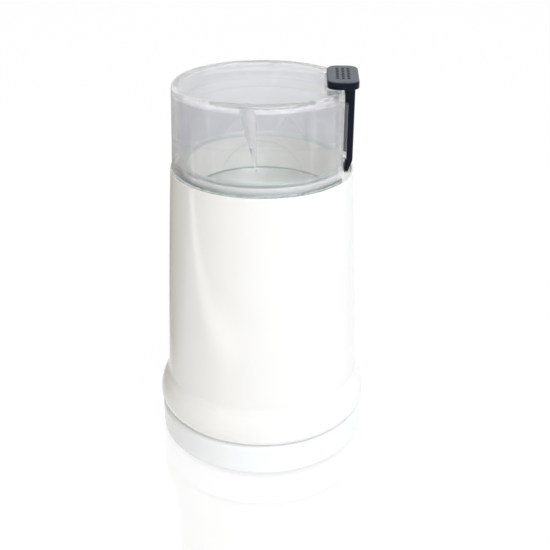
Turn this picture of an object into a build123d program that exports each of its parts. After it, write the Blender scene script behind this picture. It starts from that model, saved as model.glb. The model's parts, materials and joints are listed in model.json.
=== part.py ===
"""Electric spice grinder, one solid or group of solids per real piece, in millimetres.

The frame stands on the table: the origin is at the middle of the footprint, +Z is up along the
spindle, and the push key is on the +X side.
"""
from build123d import *
from math import pi, sin, sqrt
import os

# ---- driving dimensions ---------------------------------------------------------------------
TABLE_Z = -2.9           # the table; heights below are drawn from a datum inside the base cover
BASE_R = 50.0            # widest radius of the base cover
BULGE_R = 50.6           # widest radius of the housing's foot
LID_TOP = 174.1          # top of the lid
RIM_TOP = 134.6          # top of the housing's rim, where the lid's foot rests

# housing
SHELL_WALL = 2.4
RIM_OUT_R = 41.7
RIM_IN_R = 39.6
RIM_ROUND = 0.4
WAIST_R = 46.4           # crease above the bulge
WAIST_Z = 30.6
LIP_R = 49.0             # lower edge of the housing
LIP_Z = 15.0
BULGE_Z = 19.0
GROOVE_FLOOR = 128.5     # the lid's skirt hangs in this groove
COLLAR_R = 36.9          # ring that carries the bowl
COLLAR_IN_R = 35.4
COLLAR_TOP = 137.7
DECK_TOP = 115.0         # floor below the bowl
DECK_THICK = 2.5
DECK_BORE_R = 5.6
POST_R = 4.0             # posts that the motor hangs from
POST_BOTTOM = 101.0
POST_X = 19.0
POST_Y = 14.0
BASE_BOSS_R = 36.0       # circle of the three base screws
BASE_BOSS_ANGLES = (30, 150, 270)
BASE_BOSS_TOP = 28.0

# key slot at the +X side of the rim
SLOT_IN_X = 37.2
SLOT_OUT_R = 40.7
SLOT_HALF = 6.9
SLOT_FLOOR = 128.6
PLATFORM_HALF = 14.6     # half width of the solid platform that fills the groove there
PLATFORM_BOTTOM = 125.5

# base cover
COVER_BOTTOM = -1.9
COVER_TOP = 13.8
COVER_FLOOR = 0.6
COVER_WALL = 2.4
NECK_R = 47.2            # recessed neck that shows as a groove below the housing
SPIGOT_R = 45.0
SPIGOT_TOP = 18.0
FOOT_R = 5.0
FOOT_CIRCLE = 41.0
FOOT_ANGLES = (45, 135, 225, 315)
INLET_Z = 6.1            # height of the cord inlet at the back
INLET_FLAT_Y = 48.5
INLET_WALL = 4.0         # thickness of the pad that the bush sits in

# grinding bowl
BOWL_IN_R = 34.5
BOWL_SHEET = 0.6
BOWL_FLOOR = 117.0
BOWL_FLAT_R = 22.0       # the floor is flat to here and rises gently from here to the wall
BOWL_CREASE = 121.5      # height where the floor meets the wall
BOWL_RIM = 139.7
BEAD_R = 0.85

# lid
LID_TOP_R = 40.0
LID_SIDE_R = 40.9        # just above the foot
LID_FOOT_R = 41.6        # the foot flares out to the width of the rim
LID_WALL = 3.0
LID_ROUND = 2.6
FLAT_X = 36.0            # flat on the side of the key
FLAT_WALL = 2.6
SKIRT_R = 39.2
SKIRT_IN_R = 37.35
SKIRT_BOTTOM = 129.4
POCKET_X = 27.3          # pocket that the key's plate sinks into
POCKET_HALF = 15.6
POCKET_DEPTH = 4.6
RAIL_IN = 6.0            # guide rails beside the stem
RAIL_OUT = 8.9
RAIL_TOP = 166.3
FLAT_BOTTOM = 140.6      # the flat wall ends just above the bowl's rim
FIN_LOW = 144.4          # tip of the two wedges inside the lid
FIN_WIDTH = 7.2          # at the lid's ceiling
FIN_DEPTH = 4.8
FIN_RIDGE_X = 4.5        # the wedge's inner ridge, from its upright face

# push key
HEAD_IN_X = 28.4
HEAD_OUT_X = 42.2
HEAD_HALF = 15.1
HEAD_BOTTOM = 174.1
HEAD_TOP = 177.6
HEAD_CORNER = 4.8
HEAD_EDGE = 0.9
STEM_IN_X = 36.3
STEM_OUT_R = 41.0
STEM_EDGE = 1.2          # rounding of the stem's outer edges
STEM_BEVEL = 22.0        # degrees; the tip is bevelled to slip into the slot
STEM_BEVEL_R = 40.35     # the bevel passes through this radius ...
STEM_BEVEL_Z = 138.6     # ... at this height, so the pressed tip clears the slot's wall
STEM_HALF = 5.7
STEM_TIP = 134.9
STEM_STEP = 144.2        # above this the stem is thicker; it clears the bowl's rim at full travel
DOT_ROWS = 3
DOTS_PER_ROW = 7

# motor
SHAFT_R = 3.0
THREAD_R = 2.2
STACK_LOW = 58.0         # laminated stack of stator and armature
STACK_TOP = 84.0
STATOR_X = 29.0
STATOR_Y = 24.0
YOKE = 6.0
BORE_R = 15.6
ARMATURE_R = 15.0
BOLT_X = 25.6
BOLT_Y = 20.6
BOLT_R = 1.9
UPPER_PLATE = 94.0       # underside of the upper bracket's plate
LOWER_PLATE = 34.0       # top of the lower bracket's plate
PLATE_THICK = 3.0
BEARING_R = 6.5
BEARING_LENGTH = 8.0
BRUSH_Z = 43.0
BRUSH_SIZE = 5.0
COMMUTATOR_R = 9.0

# safety switch
PIN_X = 37.0             # axis of the plunger rod's pin and its spring
SHELF_Z = 96.0           # shelf that the return spring stands on
SPRING_TOP = 109.0
BRACKET_X = 33.2         # face of the pads that the switch bracket sits on
PAD_Y = 17.0
PAD_Z = 100.5
SWITCH_TOP = 84.0
SWITCH_X = 36.3          # middle of the switch's thickness
LEVER_PIVOT_Y = -10.6
LEVER_PIVOT_Z = 84.4
LEVER_SLOPE = 21.0       # degrees at rest
LEVER_LENGTH = 12.6

# blade
BLADE_Z = 119.3
BLADE_THICK = 1.2
BLADE_RISE = 8.0         # degrees that the wings rise
NUT_TOP = 124.8

STEEL_NUT_AF = 7.0
RUN = 0.05               # running clearance of a shaft in its bush


# ---- helpers --------------------------------------------------------------------------------
def tube(outer, inner, low, high, x=0.0, y=0.0):
    """A straight vertical tube, or a rod where inner is 0."""
    solid = Cylinder(outer, high - low, align=(Align.CENTER, Align.CENTER, Align.MIN))
    if inner > 0:
        solid -= Cylinder(inner, high - low, align=(Align.CENTER, Align.CENTER, Align.MIN))
    return Pos(x, y, low) * solid


def block(x0, x1, y0, y1, z0, z1):
    """A box between two corners."""
    centre = Pos((x0 + x1) / 2, (y0 + y1) / 2, (z0 + z1) / 2)
    return centre * Box(x1 - x0, y1 - y0, z1 - z0)


def ring_of(points):
    """A solid turned about the Z axis from straight runs of (radius, height)."""
    section = make_face(Polyline(*[(r, 0, z) for r, z in points], close=True))
    return revolve(section, Axis.Z, 360)


def turned(edges):
    """A solid turned about the Z axis from a closed chain of lines and arcs."""
    return revolve(make_face(edges), Axis.Z, 360)


def hexagon(across_flats, low, high, x=0.0, y=0.0):
    """A hexagonal prism."""
    outline = RegularPolygon(across_flats / sqrt(3), 6)
    return Pos(x, y, low) * extrude(outline, high - low)


def around(shape, angles):
    """Copies of a shape, turned about the Z axis."""
    return [Rot(0, 0, angle) * shape for angle in angles]


def corners(x, y):
    """The four corners of a rectangle."""
    return [(sx * x, sy * y) for sx in (1, -1) for sy in (1, -1)]


def save(name, shape):
    """Write one named piece, or a group of equal pieces, standing on the table."""
    pieces = shape if isinstance(shape, (list, tuple)) else [shape]
    solids = [Pos(0, 0, -TABLE_Z) * solid for piece in pieces for solid in piece.solids()]
    part = solids[0] if len(solids) == 1 else Compound(children=solids)
    part.label = name
    export_step(part, f"parts/{name}.step")


# ---- housing and base -----------------------------------------------------------------------
def side_r(z):
    """Radius of the housing's outside between the waist and the rim."""
    share = (z - WAIST_Z) / (RIM_TOP - WAIST_Z)
    straight = WAIST_R + (RIM_OUT_R - WAIST_R) * share
    return straight + 0.25 * sin(pi * share)


def housing_side(inset, top):
    """The housing's side as a chain of arcs from the lower lip up to the given height."""
    bend = 1.6
    lip = (LIP_R - inset, 0, LIP_Z)
    toe = (BULGE_R - inset - 0.45, 0, LIP_Z + 1.9)
    bulge = (BULGE_R - inset, 0, BULGE_Z)
    shoulder = (BULGE_R - inset - 0.95, 0, BULGE_Z + 5.8)
    crease_low = (WAIST_R - inset + 1.1, 0, WAIST_Z - bend)
    crease = (WAIST_R - inset + 0.35, 0, WAIST_Z)
    crease_high = (side_r(WAIST_Z + bend) - inset, 0, WAIST_Z + bend)
    middle = (WAIST_Z + top) / 2
    half_way = (side_r(middle) - inset, 0, middle)
    head = (side_r(top) - inset, 0, top)
    return [
        ThreePointArc(lip, toe, bulge),
        ThreePointArc(bulge, shoulder, crease_low),
        ThreePointArc(crease_low, crease, crease_high),
        ThreePointArc(crease_high, half_way, head),
    ]


def run(*points):
    """Straight edges through points given as (radius, height)."""
    return [Line((r0, 0, z0), (r1, 0, z1)) for (r0, z0), (r1, z1) in zip(points, points[1:])]


def housing_core(inset):
    """The solid inside the housing's side, used to trim what stands on its inner wall."""
    side = housing_side(inset, RIM_TOP)
    top_r = side_r(RIM_TOP) - inset
    return turned(side + run((top_r, RIM_TOP), (0, RIM_TOP), (0, LIP_Z), (LIP_R - inset, LIP_Z)))


def housing_wall():
    """Side, rim, groove, collar and deck, turned in one piece."""
    ceiling = GROOVE_FLOOR - 2.0
    deck_low = DECK_TOP - DECK_THICK
    inner_top = side_r(ceiling) - SHELL_WALL
    rim_low = RIM_TOP - RIM_ROUND
    rim_edge = ThreePointArc(
        (side_r(rim_low), 0, rim_low),
        (RIM_OUT_R - 0.29 * RIM_ROUND, 0, RIM_TOP - 0.29 * RIM_ROUND),
        (RIM_OUT_R - RIM_ROUND, 0, RIM_TOP),
    )
    crown = run(
        (RIM_OUT_R - RIM_ROUND, RIM_TOP),
        (RIM_IN_R, RIM_TOP),
        (RIM_IN_R, GROOVE_FLOOR),
        (COLLAR_R, GROOVE_FLOOR),
        (COLLAR_R, COLLAR_TOP),
        (COLLAR_IN_R, COLLAR_TOP),
        (COLLAR_IN_R, DECK_TOP),
        (DECK_BORE_R, DECK_TOP),
        (DECK_BORE_R, deck_low),
        (COLLAR_R, deck_low),
        (COLLAR_R, ceiling),
        (inner_top, ceiling),
    )
    lip = run((LIP_R - SHELL_WALL, LIP_Z), (LIP_R, LIP_Z))
    outside = housing_side(0, rim_low) + [rim_edge]
    return turned(outside + crown + housing_side(SHELL_WALL, ceiling) + lip)


def key_sector(half, low, high, inner_x, outer_r):
    """The segment of a round wall on the key's side, beyond x = inner_x."""
    round_wall = tube(outer_r, 0, low, high)
    return round_wall & block(inner_x, outer_r + 5, -half, half, low - 1, high + 1)


def base_boss():
    """One post for a base screw, on a web that joins it to the housing's wall."""
    post = tube(4.2, 0, 15.0, BASE_BOSS_TOP, BASE_BOSS_R)
    web = block(BASE_BOSS_R, BASE_BOSS_R + 14.0, -1.2, 1.2, 19.0, BASE_BOSS_TOP)
    return post + web


def housing_shell():
    shell = housing_wall()
    inside = housing_core(SHELL_WALL / 2)
    # six ribs brace the collar against the wall
    rib = block(COLLAR_R - 0.6, 44.0, -0.9, 0.9, DECK_TOP - 1.0, GROOVE_FLOOR - 1.0)
    for piece in around(rib, (40, 90, 140, 220, 270, 320)):
        shell += piece & inside
    # solid platform with the key's slot and the guide of the plunger rod
    platform = tube(RIM_IN_R + 1.0, COLLAR_R - 0.7, PLATFORM_BOTTOM, RIM_TOP)
    shell += platform & block(20, 60, -PLATFORM_HALF, PLATFORM_HALF, 100, 150)
    shell -= key_sector(SLOT_HALF, SLOT_FLOOR, RIM_TOP + 1, SLOT_IN_X, SLOT_OUT_R)
    shell -= block(SLOT_IN_X + 0.2, 39.35, -4.3, 4.3, PLATFORM_BOTTOM - 1, SLOT_FLOOR + 1)
    # posts for the motor and the base screws
    for x, y in corners(POST_X, POST_Y):
        shell += tube(POST_R, 0, POST_BOTTOM, DECK_TOP - 1, x, y)
        shell -= tube(1.4, 0, POST_BOTTOM - 1, POST_BOTTOM + 9, x, y)
    for piece in around(base_boss(), BASE_BOSS_ANGLES):
        shell += piece & inside
    for piece in around(tube(1.5, 0, 14.0, 26.5, BASE_BOSS_R), BASE_BOSS_ANGLES):
        shell -= piece
    # two pads on the inside of the wall for the switch bracket
    for y in (-PAD_Y, PAD_Y):
        pad = block(BRACKET_X, 43.0, y - 3.0, y + 3.0, PAD_Z - 3.5, PAD_Z + 3.5)
        shell += pad & inside
        shell -= Pos(BRACKET_X + 2.0, y, PAD_Z) * Rot(0, 90, 0) * Cylinder(1.1, 5.0)
    return shell


def inlet_disc(radius, y_low, y_high):
    """A disc across the cord inlet's axis, at the back of the base cover."""
    return Pos(0, (y_low + y_high) / 2, INLET_Z) * Rot(90, 0, 0) * Cylinder(radius, y_high - y_low)


def base_cover():
    toe = 3.2
    shoulder = 2.6
    low = COVER_BOTTOM
    outer = [
        Line((0, 0, low), (BASE_R - toe, 0, low)),
        ThreePointArc(
            (BASE_R - toe, 0, low),
            (BASE_R - 0.29 * toe, 0, low + 0.29 * toe),
            (BASE_R, 0, low + toe),
        ),
        Line((BASE_R, 0, low + toe), (BASE_R, 0, COVER_TOP - shoulder)),
        ThreePointArc(
            (BASE_R, 0, COVER_TOP - shoulder),
            (BASE_R - 0.29 * shoulder, 0, COVER_TOP - 0.29 * shoulder),
            (BASE_R - shoulder, 0, COVER_TOP),
        ),
        Line((BASE_R - shoulder, 0, COVER_TOP), (NECK_R, 0, COVER_TOP)),
        Line((NECK_R, 0, COVER_TOP), (NECK_R, 0, LIP_Z)),
        Line((NECK_R, 0, LIP_Z), (0, 0, LIP_Z)),
        Line((0, 0, LIP_Z), (0, 0, low)),
    ]
    cover = turned(outer)
    cover += tube(SPIGOT_R, 0, LIP_Z - 1, SPIGOT_TOP)
    cover -= tube(SPIGOT_R - COVER_WALL, 0, COVER_FLOOR, SPIGOT_TOP + 1)
    cover -= tube(BASE_R - COVER_WALL, 0, COVER_FLOOR, COVER_TOP - COVER_WALL)
    # screw posts
    for piece in around(tube(4.6, 0, COVER_BOTTOM, 14.8, BASE_BOSS_R), BASE_BOSS_ANGLES):
        cover += piece
    for piece in around(tube(3.6, 0, COVER_BOTTOM - 1, 9.8, BASE_BOSS_R), BASE_BOSS_ANGLES):
        cover -= piece
    for piece in around(tube(1.8, 0, 9.0, 16.0, BASE_BOSS_R), BASE_BOSS_ANGLES):
        cover -= piece
    # cooling slots in the floor
    for row in range(-3, 4):
        half = 11.0 - abs(row) * 1.6
        slot = SlotOverall(2 * half, 2.4)
        cover -= Pos(0, row * 5.4, COVER_BOTTOM - 1) * extrude(slot, COVER_FLOOR - COVER_BOTTOM + 2)
    # sockets for the feet
    socket = tube(FOOT_R + 0.02, 0, TABLE_Z, COVER_BOTTOM + 1.4, FOOT_CIRCLE)
    for piece in around(socket, FOOT_ANGLES):
        cover -= piece
    # flat round pad with a hole for the cord inlet bush
    cover += inlet_disc(5.9, INLET_FLAT_Y - INLET_WALL, INLET_FLAT_Y)
    cover -= inlet_disc(5.9, INLET_FLAT_Y, INLET_FLAT_Y + 5)
    return cover - inlet_disc(4.3, INLET_FLAT_Y - 10, INLET_FLAT_Y + 5)


def rubber_feet():
    foot = tube(FOOT_R, 0, TABLE_Z, COVER_BOTTOM + 1.4, FOOT_CIRCLE)
    foot = chamfer(foot.faces().sort_by(Axis.Z)[0].edges(), 0.5)
    return around(foot, FOOT_ANGLES)


def base_screws():
    head = tube(3.1, 0, 7.6, 9.8, BASE_BOSS_R)
    head = fillet(head.faces().sort_by(Axis.Z)[0].edges(), 0.7)
    shank = tube(1.5, 0, 9.8, 25.0, BASE_BOSS_R)
    slot = block(-1.8, 1.8, -0.35, 0.35, 7.0, 8.7)
    recess = Pos(BASE_BOSS_R, 0, 0) * (slot + Rot(0, 0, 90) * slot)
    return around(head + shank - recess, BASE_BOSS_ANGLES)


def cord_inlet_bush():
    """Rubber bush that the mains cord enters through, in the base cover's wall at the back."""
    wall_in = INLET_FLAT_Y - INLET_WALL
    outside = inlet_disc(5.5, INLET_FLAT_Y, INLET_FLAT_Y + 2)
    outside = fillet(outside.faces().sort_by(Axis.Y)[-1].edges(), 0.8)
    body = inlet_disc(4.25, wall_in, INLET_FLAT_Y)
    inside = inlet_disc(5.1, wall_in - 2, wall_in)
    return outside + body + inside - inlet_disc(3.1, wall_in - 5, INLET_FLAT_Y + 5)


# ---- bowl -----------------------------------------------------------------------------------
def bowl_profile(offset):
    """Points of the bowl's inner side, pushed outwards by the sheet's thickness."""
    wall = BOWL_IN_R + offset
    floor = BOWL_FLOOR - offset
    return [
        (5.1, floor),
        (BOWL_FLAT_R, floor),
        (wall - 1.2, BOWL_CREASE - 0.9 - offset),
        (wall, BOWL_CREASE + 0.6 - offset),
        (wall, BOWL_RIM - 1.0),
    ]


def grinding_bowl():
    inner = bowl_profile(0)
    outer = bowl_profile(BOWL_SHEET)
    bowl = ring_of(inner + outer[::-1])
    bead_centre = BOWL_IN_R + BOWL_SHEET + 0.6
    lip = Pos(bead_centre, 0, BOWL_RIM - BEAD_R) * Rot(90, 0, 0) * Circle(BEAD_R)
    return bowl + revolve(lip, Axis.Z, 360)


def bowl_gasket():
    return tube(22.0, 15.0, DECK_TOP, BOWL_FLOOR - BOWL_SHEET)


def bowl_clamp_bush():
    """Threaded sleeve: its flange presses the bowl down, and the spindle turns in its bore."""
    flange = tube(9.0, 0, BOWL_FLOOR, BOWL_FLOOR + 1.2)
    flange = fillet(flange.faces().sort_by(Axis.Z)[-1].edges(), 0.5)
    neck = tube(5.0, 0, 107.0, BOWL_FLOOR + 0.5)
    bore = tube(SHAFT_R + 0.2, 0, 100.0, 120.0)
    return flange + neck - bore


def bowl_clamp_nut():
    nut = hexagon(15.0, 109.0, DECK_TOP - DECK_THICK)
    return nut - tube(5.0, 0, 108.0, DECK_TOP)


# ---- lid and key ----------------------------------------------------------------------------
def lid_outside():
    """The lid's outer form, before its flat and pocket."""
    chain = [
        Line((0, 0, RIM_TOP), (LID_FOOT_R, 0, RIM_TOP)),
        Line((LID_FOOT_R, 0, RIM_TOP), (LID_FOOT_R, 0, RIM_TOP + 0.7)),
        ThreePointArc(
            (LID_FOOT_R, 0, RIM_TOP + 0.7),
            (LID_FOOT_R - 0.5, 0, RIM_TOP + 1.1),
            (LID_SIDE_R, 0, RIM_TOP + 2.0),
        ),
        Line((LID_SIDE_R, 0, RIM_TOP + 2.0), (LID_TOP_R, 0, LID_TOP - LID_ROUND)),
        ThreePointArc(
            (LID_TOP_R, 0, LID_TOP - LID_ROUND),
            (LID_TOP_R - 0.29 * LID_ROUND, 0, LID_TOP - 0.29 * LID_ROUND),
            (LID_TOP_R - LID_ROUND, 0, LID_TOP),
        ),
        Line((LID_TOP_R - LID_ROUND, 0, LID_TOP), (0, 0, LID_TOP)),
        Line((0, 0, LID_TOP), (0, 0, RIM_TOP)),
    ]
    return turned(chain)


def lid_inside():
    """The hollow of the lid, with a rounded top corner."""
    top = LID_TOP - LID_WALL
    wall = LID_TOP_R - LID_WALL
    foot = SKIRT_IN_R + 0.2
    chain = [
        Line((0, 0, RIM_TOP - 1), (foot, 0, RIM_TOP - 1)),
        Line((foot, 0, RIM_TOP - 1), (wall, 0, top - 2.0)),
        ThreePointArc((wall, 0, top - 2.0), (wall - 0.6, 0, top - 0.6), (wall - 2.0, 0, top)),
        Line((wall - 2.0, 0, top), (0, 0, top)),
        Line((0, 0, top), (0, 0, RIM_TOP - 1)),
    ]
    return turned(chain)


def lid_fin():
    """One wedge below the lid's top that throws the spice back onto the blade."""
    top = LID_TOP - LID_WALL + 0.2
    root = SKIRT_IN_R + 0.1
    upper = [(-0.1, -root), (-FIN_RIDGE_X, FIN_DEPTH - root), (-FIN_WIDTH, 0.7 - root)]
    lower = [(-0.1, -root - 0.4), (-0.4, 0.3 - root), (-0.7, -root - 0.3)]
    sections = [
        make_face(Polyline(*[(x, y, z) for x, y in corners_of_fin], close=True))
        for corners_of_fin, z in ((upper, top), (lower, FIN_LOW))
    ]
    return loft(sections, ruled=True)


def lid_pocket_wall():
    """Walls that close the hollow below and inside the key's pocket."""
    floor = LID_TOP - POCKET_DEPTH
    box = block(POCKET_X - 2.2, 60, -POCKET_HALF - 2.2, POCKET_HALF + 2.2, floor - 2.4, LID_TOP)
    return box & lid_outside()


def clear_lid():
    lid = lid_outside() - lid_inside()
    # flat wall on the key's side
    flat_wall = block(FLAT_X - FLAT_WALL, FLAT_X, -25, 25, FLAT_BOTTOM, LID_TOP - 1)
    lid += flat_wall & lid_outside()
    lid += lid_pocket_wall()
    lid -= block(FLAT_X, 60, -25, 25, RIM_TOP - 1, LID_TOP + 1)
    pocket = block(POCKET_X, 60, -POCKET_HALF, POCKET_HALF, LID_TOP - POCKET_DEPTH, LID_TOP + 1)
    lid -= pocket
    # two rails guide the stem along the flat
    for side in (1, -1):
        y_in, y_out = sorted((side * RAIL_IN, side * RAIL_OUT))
        lid += block(FLAT_X - 0.5, FLAT_X + 1.9, y_in, y_out, FLAT_BOTTOM + 0.9, RAIL_TOP)
    # skirt in the housing's groove, open over the key's platform
    lid += tube(SKIRT_R, SKIRT_IN_R, SKIRT_BOTTOM, RIM_TOP + 2.0)
    lid -= block(20, 60, -PLATFORM_HALF - 0.4, PLATFORM_HALF + 0.4, SKIRT_BOTTOM - 1, FLAT_BOTTOM)
    lid += lid_fin()
    lid += Rot(0, 0, 180) * lid_fin()
    return lid


def key_head():
    head = block(HEAD_IN_X, HEAD_OUT_X, -HEAD_HALF, HEAD_HALF, HEAD_BOTTOM, HEAD_TOP)
    head = fillet(head.edges().filter_by(Axis.Z), HEAD_CORNER)
    head = fillet(head.faces().sort_by(Axis.Z)[-1].edges(), HEAD_EDGE)
    pitch_x = 2.4
    pitch_y = 2.9
    for row in range(DOT_ROWS):
        for place in range(DOTS_PER_ROW):
            x = (HEAD_IN_X + HEAD_OUT_X) / 2 + (row - (DOT_ROWS - 1) / 2) * pitch_x
            y = (place - (DOTS_PER_ROW - 1) / 2) * pitch_y
            head += tube(0.62, 0, HEAD_TOP - 0.3, HEAD_TOP + 0.25, x, y)
    return head


def stem_section(z):
    """Section of the stem's thick part: flat on the lid's side, round outside, with rounded edges."""
    outside = (Circle(STEM_OUT_R) & Pos(50, 0) * Rectangle(2 * (50 - STEM_IN_X), 2 * STEM_HALF)).face()
    outer_edges = outside.vertices().sort_by(Axis.X)[-2:]
    return Pos(0, 0, z) * fillet(outer_edges, STEM_EDGE)


def push_key():
    """Thumb plate on a long stem that reaches down to the slot in the housing."""
    stem = extrude(stem_section(STEM_TIP), HEAD_BOTTOM + 0.5 - STEM_TIP)
    stem -= block(0, SLOT_IN_X + 0.35, -STEM_HALF - 1, STEM_HALF + 1, STEM_TIP - 1, STEM_STEP)
    beyond = Pos(2, 0, 0) * Box(4, 3 * STEM_HALF, 16)
    stem -= Pos(STEM_BEVEL_R, 0, STEM_BEVEL_Z) * Rot(0, STEM_BEVEL, 0) * beyond
    flare_out = STEM_OUT_R - 0.5
    neck_width = flare_out - 0.6 - STEM_IN_X
    collar_width = flare_out - STEM_IN_X
    neck = Pos(STEM_IN_X + neck_width / 2, 0, HEAD_BOTTOM - 3.3) * Rectangle(neck_width, 2 * STEM_HALF)
    collar = Rectangle(collar_width, 2 * STEM_HALF + 4)
    collar = Pos(STEM_IN_X + collar_width / 2, 0, HEAD_BOTTOM + 0.3) * collar
    flare = loft([neck.face(), collar.face()], ruled=True)
    return key_head() + stem + flare


# ---- key-operated switch --------------------------------------------------------------------
def plunger_rod():
    """Rod in the housing's guide: the key's tip pushes its head, its pin works the switch."""
    inner = SLOT_IN_X + 0.3
    head = block(inner, 60, -5.6, 5.6, 132.85, 134.5) & tube(SLOT_OUT_R - 0.35, 0, 130, 136)
    blade = block(inner, 39.25, -4.1, 4.1, SPRING_TOP + 1.6, 133.0)
    collar = block(PIN_X - 2.6, 39.25, -4.1, 4.1, SPRING_TOP, SPRING_TOP + 1.8)
    pin = tube(1.15, 0, SWITCH_TOP + 6.1, SPRING_TOP + 0.4, PIN_X)
    return head + blade + collar + pin


def return_spring():
    """Coil spring between the bracket's shelf and the rod's collar."""
    turns = 6
    wire_r = 0.3
    height = SPRING_TOP - SHELF_Z - 2 * wire_r - 0.1
    path = Helix(pitch=height / turns, height=height, radius=1.9)
    wire = Plane(origin=path @ 0, z_dir=path % 0) * Circle(wire_r)
    coil = sweep(wire, path=path, is_frenet=True)
    return Pos(PIN_X, 0, SHELF_Z + wire_r + 0.05) * coil


def switch_bracket():
    """Bent plate on two pads of the wall: it carries the spring and the switch."""
    shelf = block(BRACKET_X - 0.4, 40.2, -5.5, 5.5, SHELF_Z - 1.2, SHELF_Z)
    back = block(BRACKET_X - 1.6, BRACKET_X, -20.0, 20.0, PAD_Z - 4.0, PAD_Z + 3.0)
    hanger = block(BRACKET_X - 1.6, BRACKET_X, -12.0, 8.0, SWITCH_TOP - 12.0, PAD_Z)
    plate = shelf + back + hanger - tube(1.5, 0, SHELF_Z - 2, SHELF_Z + 1, PIN_X)
    for y in (-PAD_Y, PAD_Y):
        plate -= Pos(BRACKET_X, y, PAD_Z) * Rot(0, 90, 0) * Cylinder(1.25, 6.0)
    return plate


def switch_screws():
    """Two self-tapping screws through the bracket into the pads."""
    face = BRACKET_X - 1.6
    head = Pos(face - 0.9, 0, PAD_Z) * Rot(0, 90, 0) * Cylinder(2.3, 1.8)
    shank = Pos(face + 2.9, 0, PAD_Z) * Rot(0, 90, 0) * Cylinder(1.08, 5.8)
    slot = block(face - 2.5, face - 1.0, -0.3, 0.3, PAD_Z - 3, PAD_Z + 3)
    return [Pos(0, y, 0) * (head + shank - slot) for y in (-PAD_Y, PAD_Y)]


def switch_body():
    """Microswitch case on the bracket, with two ears for the lever's pin."""
    top = SWITCH_TOP - 1.0
    case = block(BRACKET_X, SWITCH_X + 3.1, -12.0, 8.0, SWITCH_TOP - 12.0, top)
    case = fillet(case.edges().filter_by(Axis.X), 0.8)
    ears = block(SWITCH_X - 2.4, SWITCH_X + 2.4, -12.0, -9.2, top - 0.8, SWITCH_TOP + 1.6)
    ears -= block(SWITCH_X - 1.4, SWITCH_X + 1.4, -13.0, -8.5, top, SWITCH_TOP + 2)
    well = block(SWITCH_X - 1.1, SWITCH_X + 1.1, -5.1, -2.9, SWITCH_TOP - 5.0, SWITCH_TOP + 1)
    bore = Pos(SWITCH_X, LEVER_PIVOT_Y, LEVER_PIVOT_Z) * Rot(0, 90, 0) * Cylinder(0.45, 8.0)
    return case + ears - well - bore


def switch_lever():
    """Spring-steel lever that slopes up towards the plunger rod's pin."""
    pivot = Pos(SWITCH_X, LEVER_PIVOT_Y, LEVER_PIVOT_Z)
    arm = Rot(LEVER_SLOPE, 0, 0) * block(-1.2, 1.2, 0, LEVER_LENGTH, 0.4, 0.8)
    eye = Rot(0, 90, 0) * Cylinder(0.85, 2.4)
    pin = Rot(0, 90, 0) * Cylinder(0.38, 4.7)
    return pivot * (arm + eye + pin)


def switch_button():
    """Small button that the lever presses."""
    return block(SWITCH_X - 1.0, SWITCH_X + 1.0, -5.0, -3.0, SWITCH_TOP - 3.4, SWITCH_TOP + 2.4)


def switch_terminals():
    low = SWITCH_TOP - 20.0
    blade = block(SWITCH_X - 0.4, SWITCH_X + 0.4, -1.6, 1.6, low, SWITCH_TOP - 12.0)
    blade -= Pos(SWITCH_X, 0, low + 2.5) * Rot(0, 90, 0) * Cylinder(0.7, 3.0)
    return [Pos(0, y, 0) * blade for y in (-9.0, -2.0, 5.0)]


# ---- motor ----------------------------------------------------------------------------------
def end_plate(low):
    """Rectangular bracket plate with its bolt holes and two vents."""
    plate = block(-STATOR_X, STATOR_X, -STATOR_Y, STATOR_Y, low, low + PLATE_THICK)
    plate = chamfer(plate.edges().filter_by(Axis.Z), 2.0)
    for y in (-17.0, 17.0):
        plate -= Pos(0, y, low - 1) * extrude(SlotOverall(18.0, 5.0), PLATE_THICK + 2)
    return plate


def bolt_legs(low, high):
    """Four tubular legs around the long bolts."""
    return [tube(3.2, BOLT_R + 0.1, low, high, x, y) for x, y in corners(BOLT_X, BOLT_Y)]


def upper_bracket():
    bracket = end_plate(UPPER_PLATE) + tube(BEARING_R + 2.4, 0, UPPER_PLATE - 1.8, UPPER_PLATE + 8.4)
    for leg in bolt_legs(STACK_TOP, UPPER_PLATE):
        bracket += leg
    for x, y in corners(BOLT_X, BOLT_Y):
        bracket -= tube(BOLT_R + 0.1, 0, STACK_TOP, UPPER_PLATE + 5, x, y)
    for x, y in corners(POST_X, POST_Y):
        bracket -= tube(3.65, 0, UPPER_PLATE - 1, UPPER_PLATE + 4, x, y)
    return bracket - tube(BEARING_R, 0, UPPER_PLATE - 3, UPPER_PLATE + 9)


def lower_bracket():
    low = LOWER_PLATE - PLATE_THICK
    bracket = end_plate(low) + tube(BEARING_R + 2.4, 0, low - 10.4, LOWER_PLATE)
    for leg in bolt_legs(LOWER_PLATE, STACK_LOW):
        bracket += leg
    for x, y in corners(BOLT_X, BOLT_Y):
        bracket -= tube(BOLT_R + 0.1, 0, low - 1, STACK_LOW, x, y)
    return bracket - tube(BEARING_R, 0, low - 9.2, LOWER_PLATE + 1)


def upper_bearing():
    bush = tube(BEARING_R, SHAFT_R + RUN, UPPER_PLATE - 1.0, UPPER_PLATE - 1.0 + BEARING_LENGTH)
    return chamfer(bush.faces().sort_by(Axis.Z)[-1].edges(), 0.4)


def lower_bearing():
    top = LOWER_PLATE - 1.0
    bush = tube(BEARING_R, SHAFT_R + RUN, top - BEARING_LENGTH, top)
    return chamfer(bush.faces().sort_by(Axis.Z)[0].edges(), 0.4)


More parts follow.
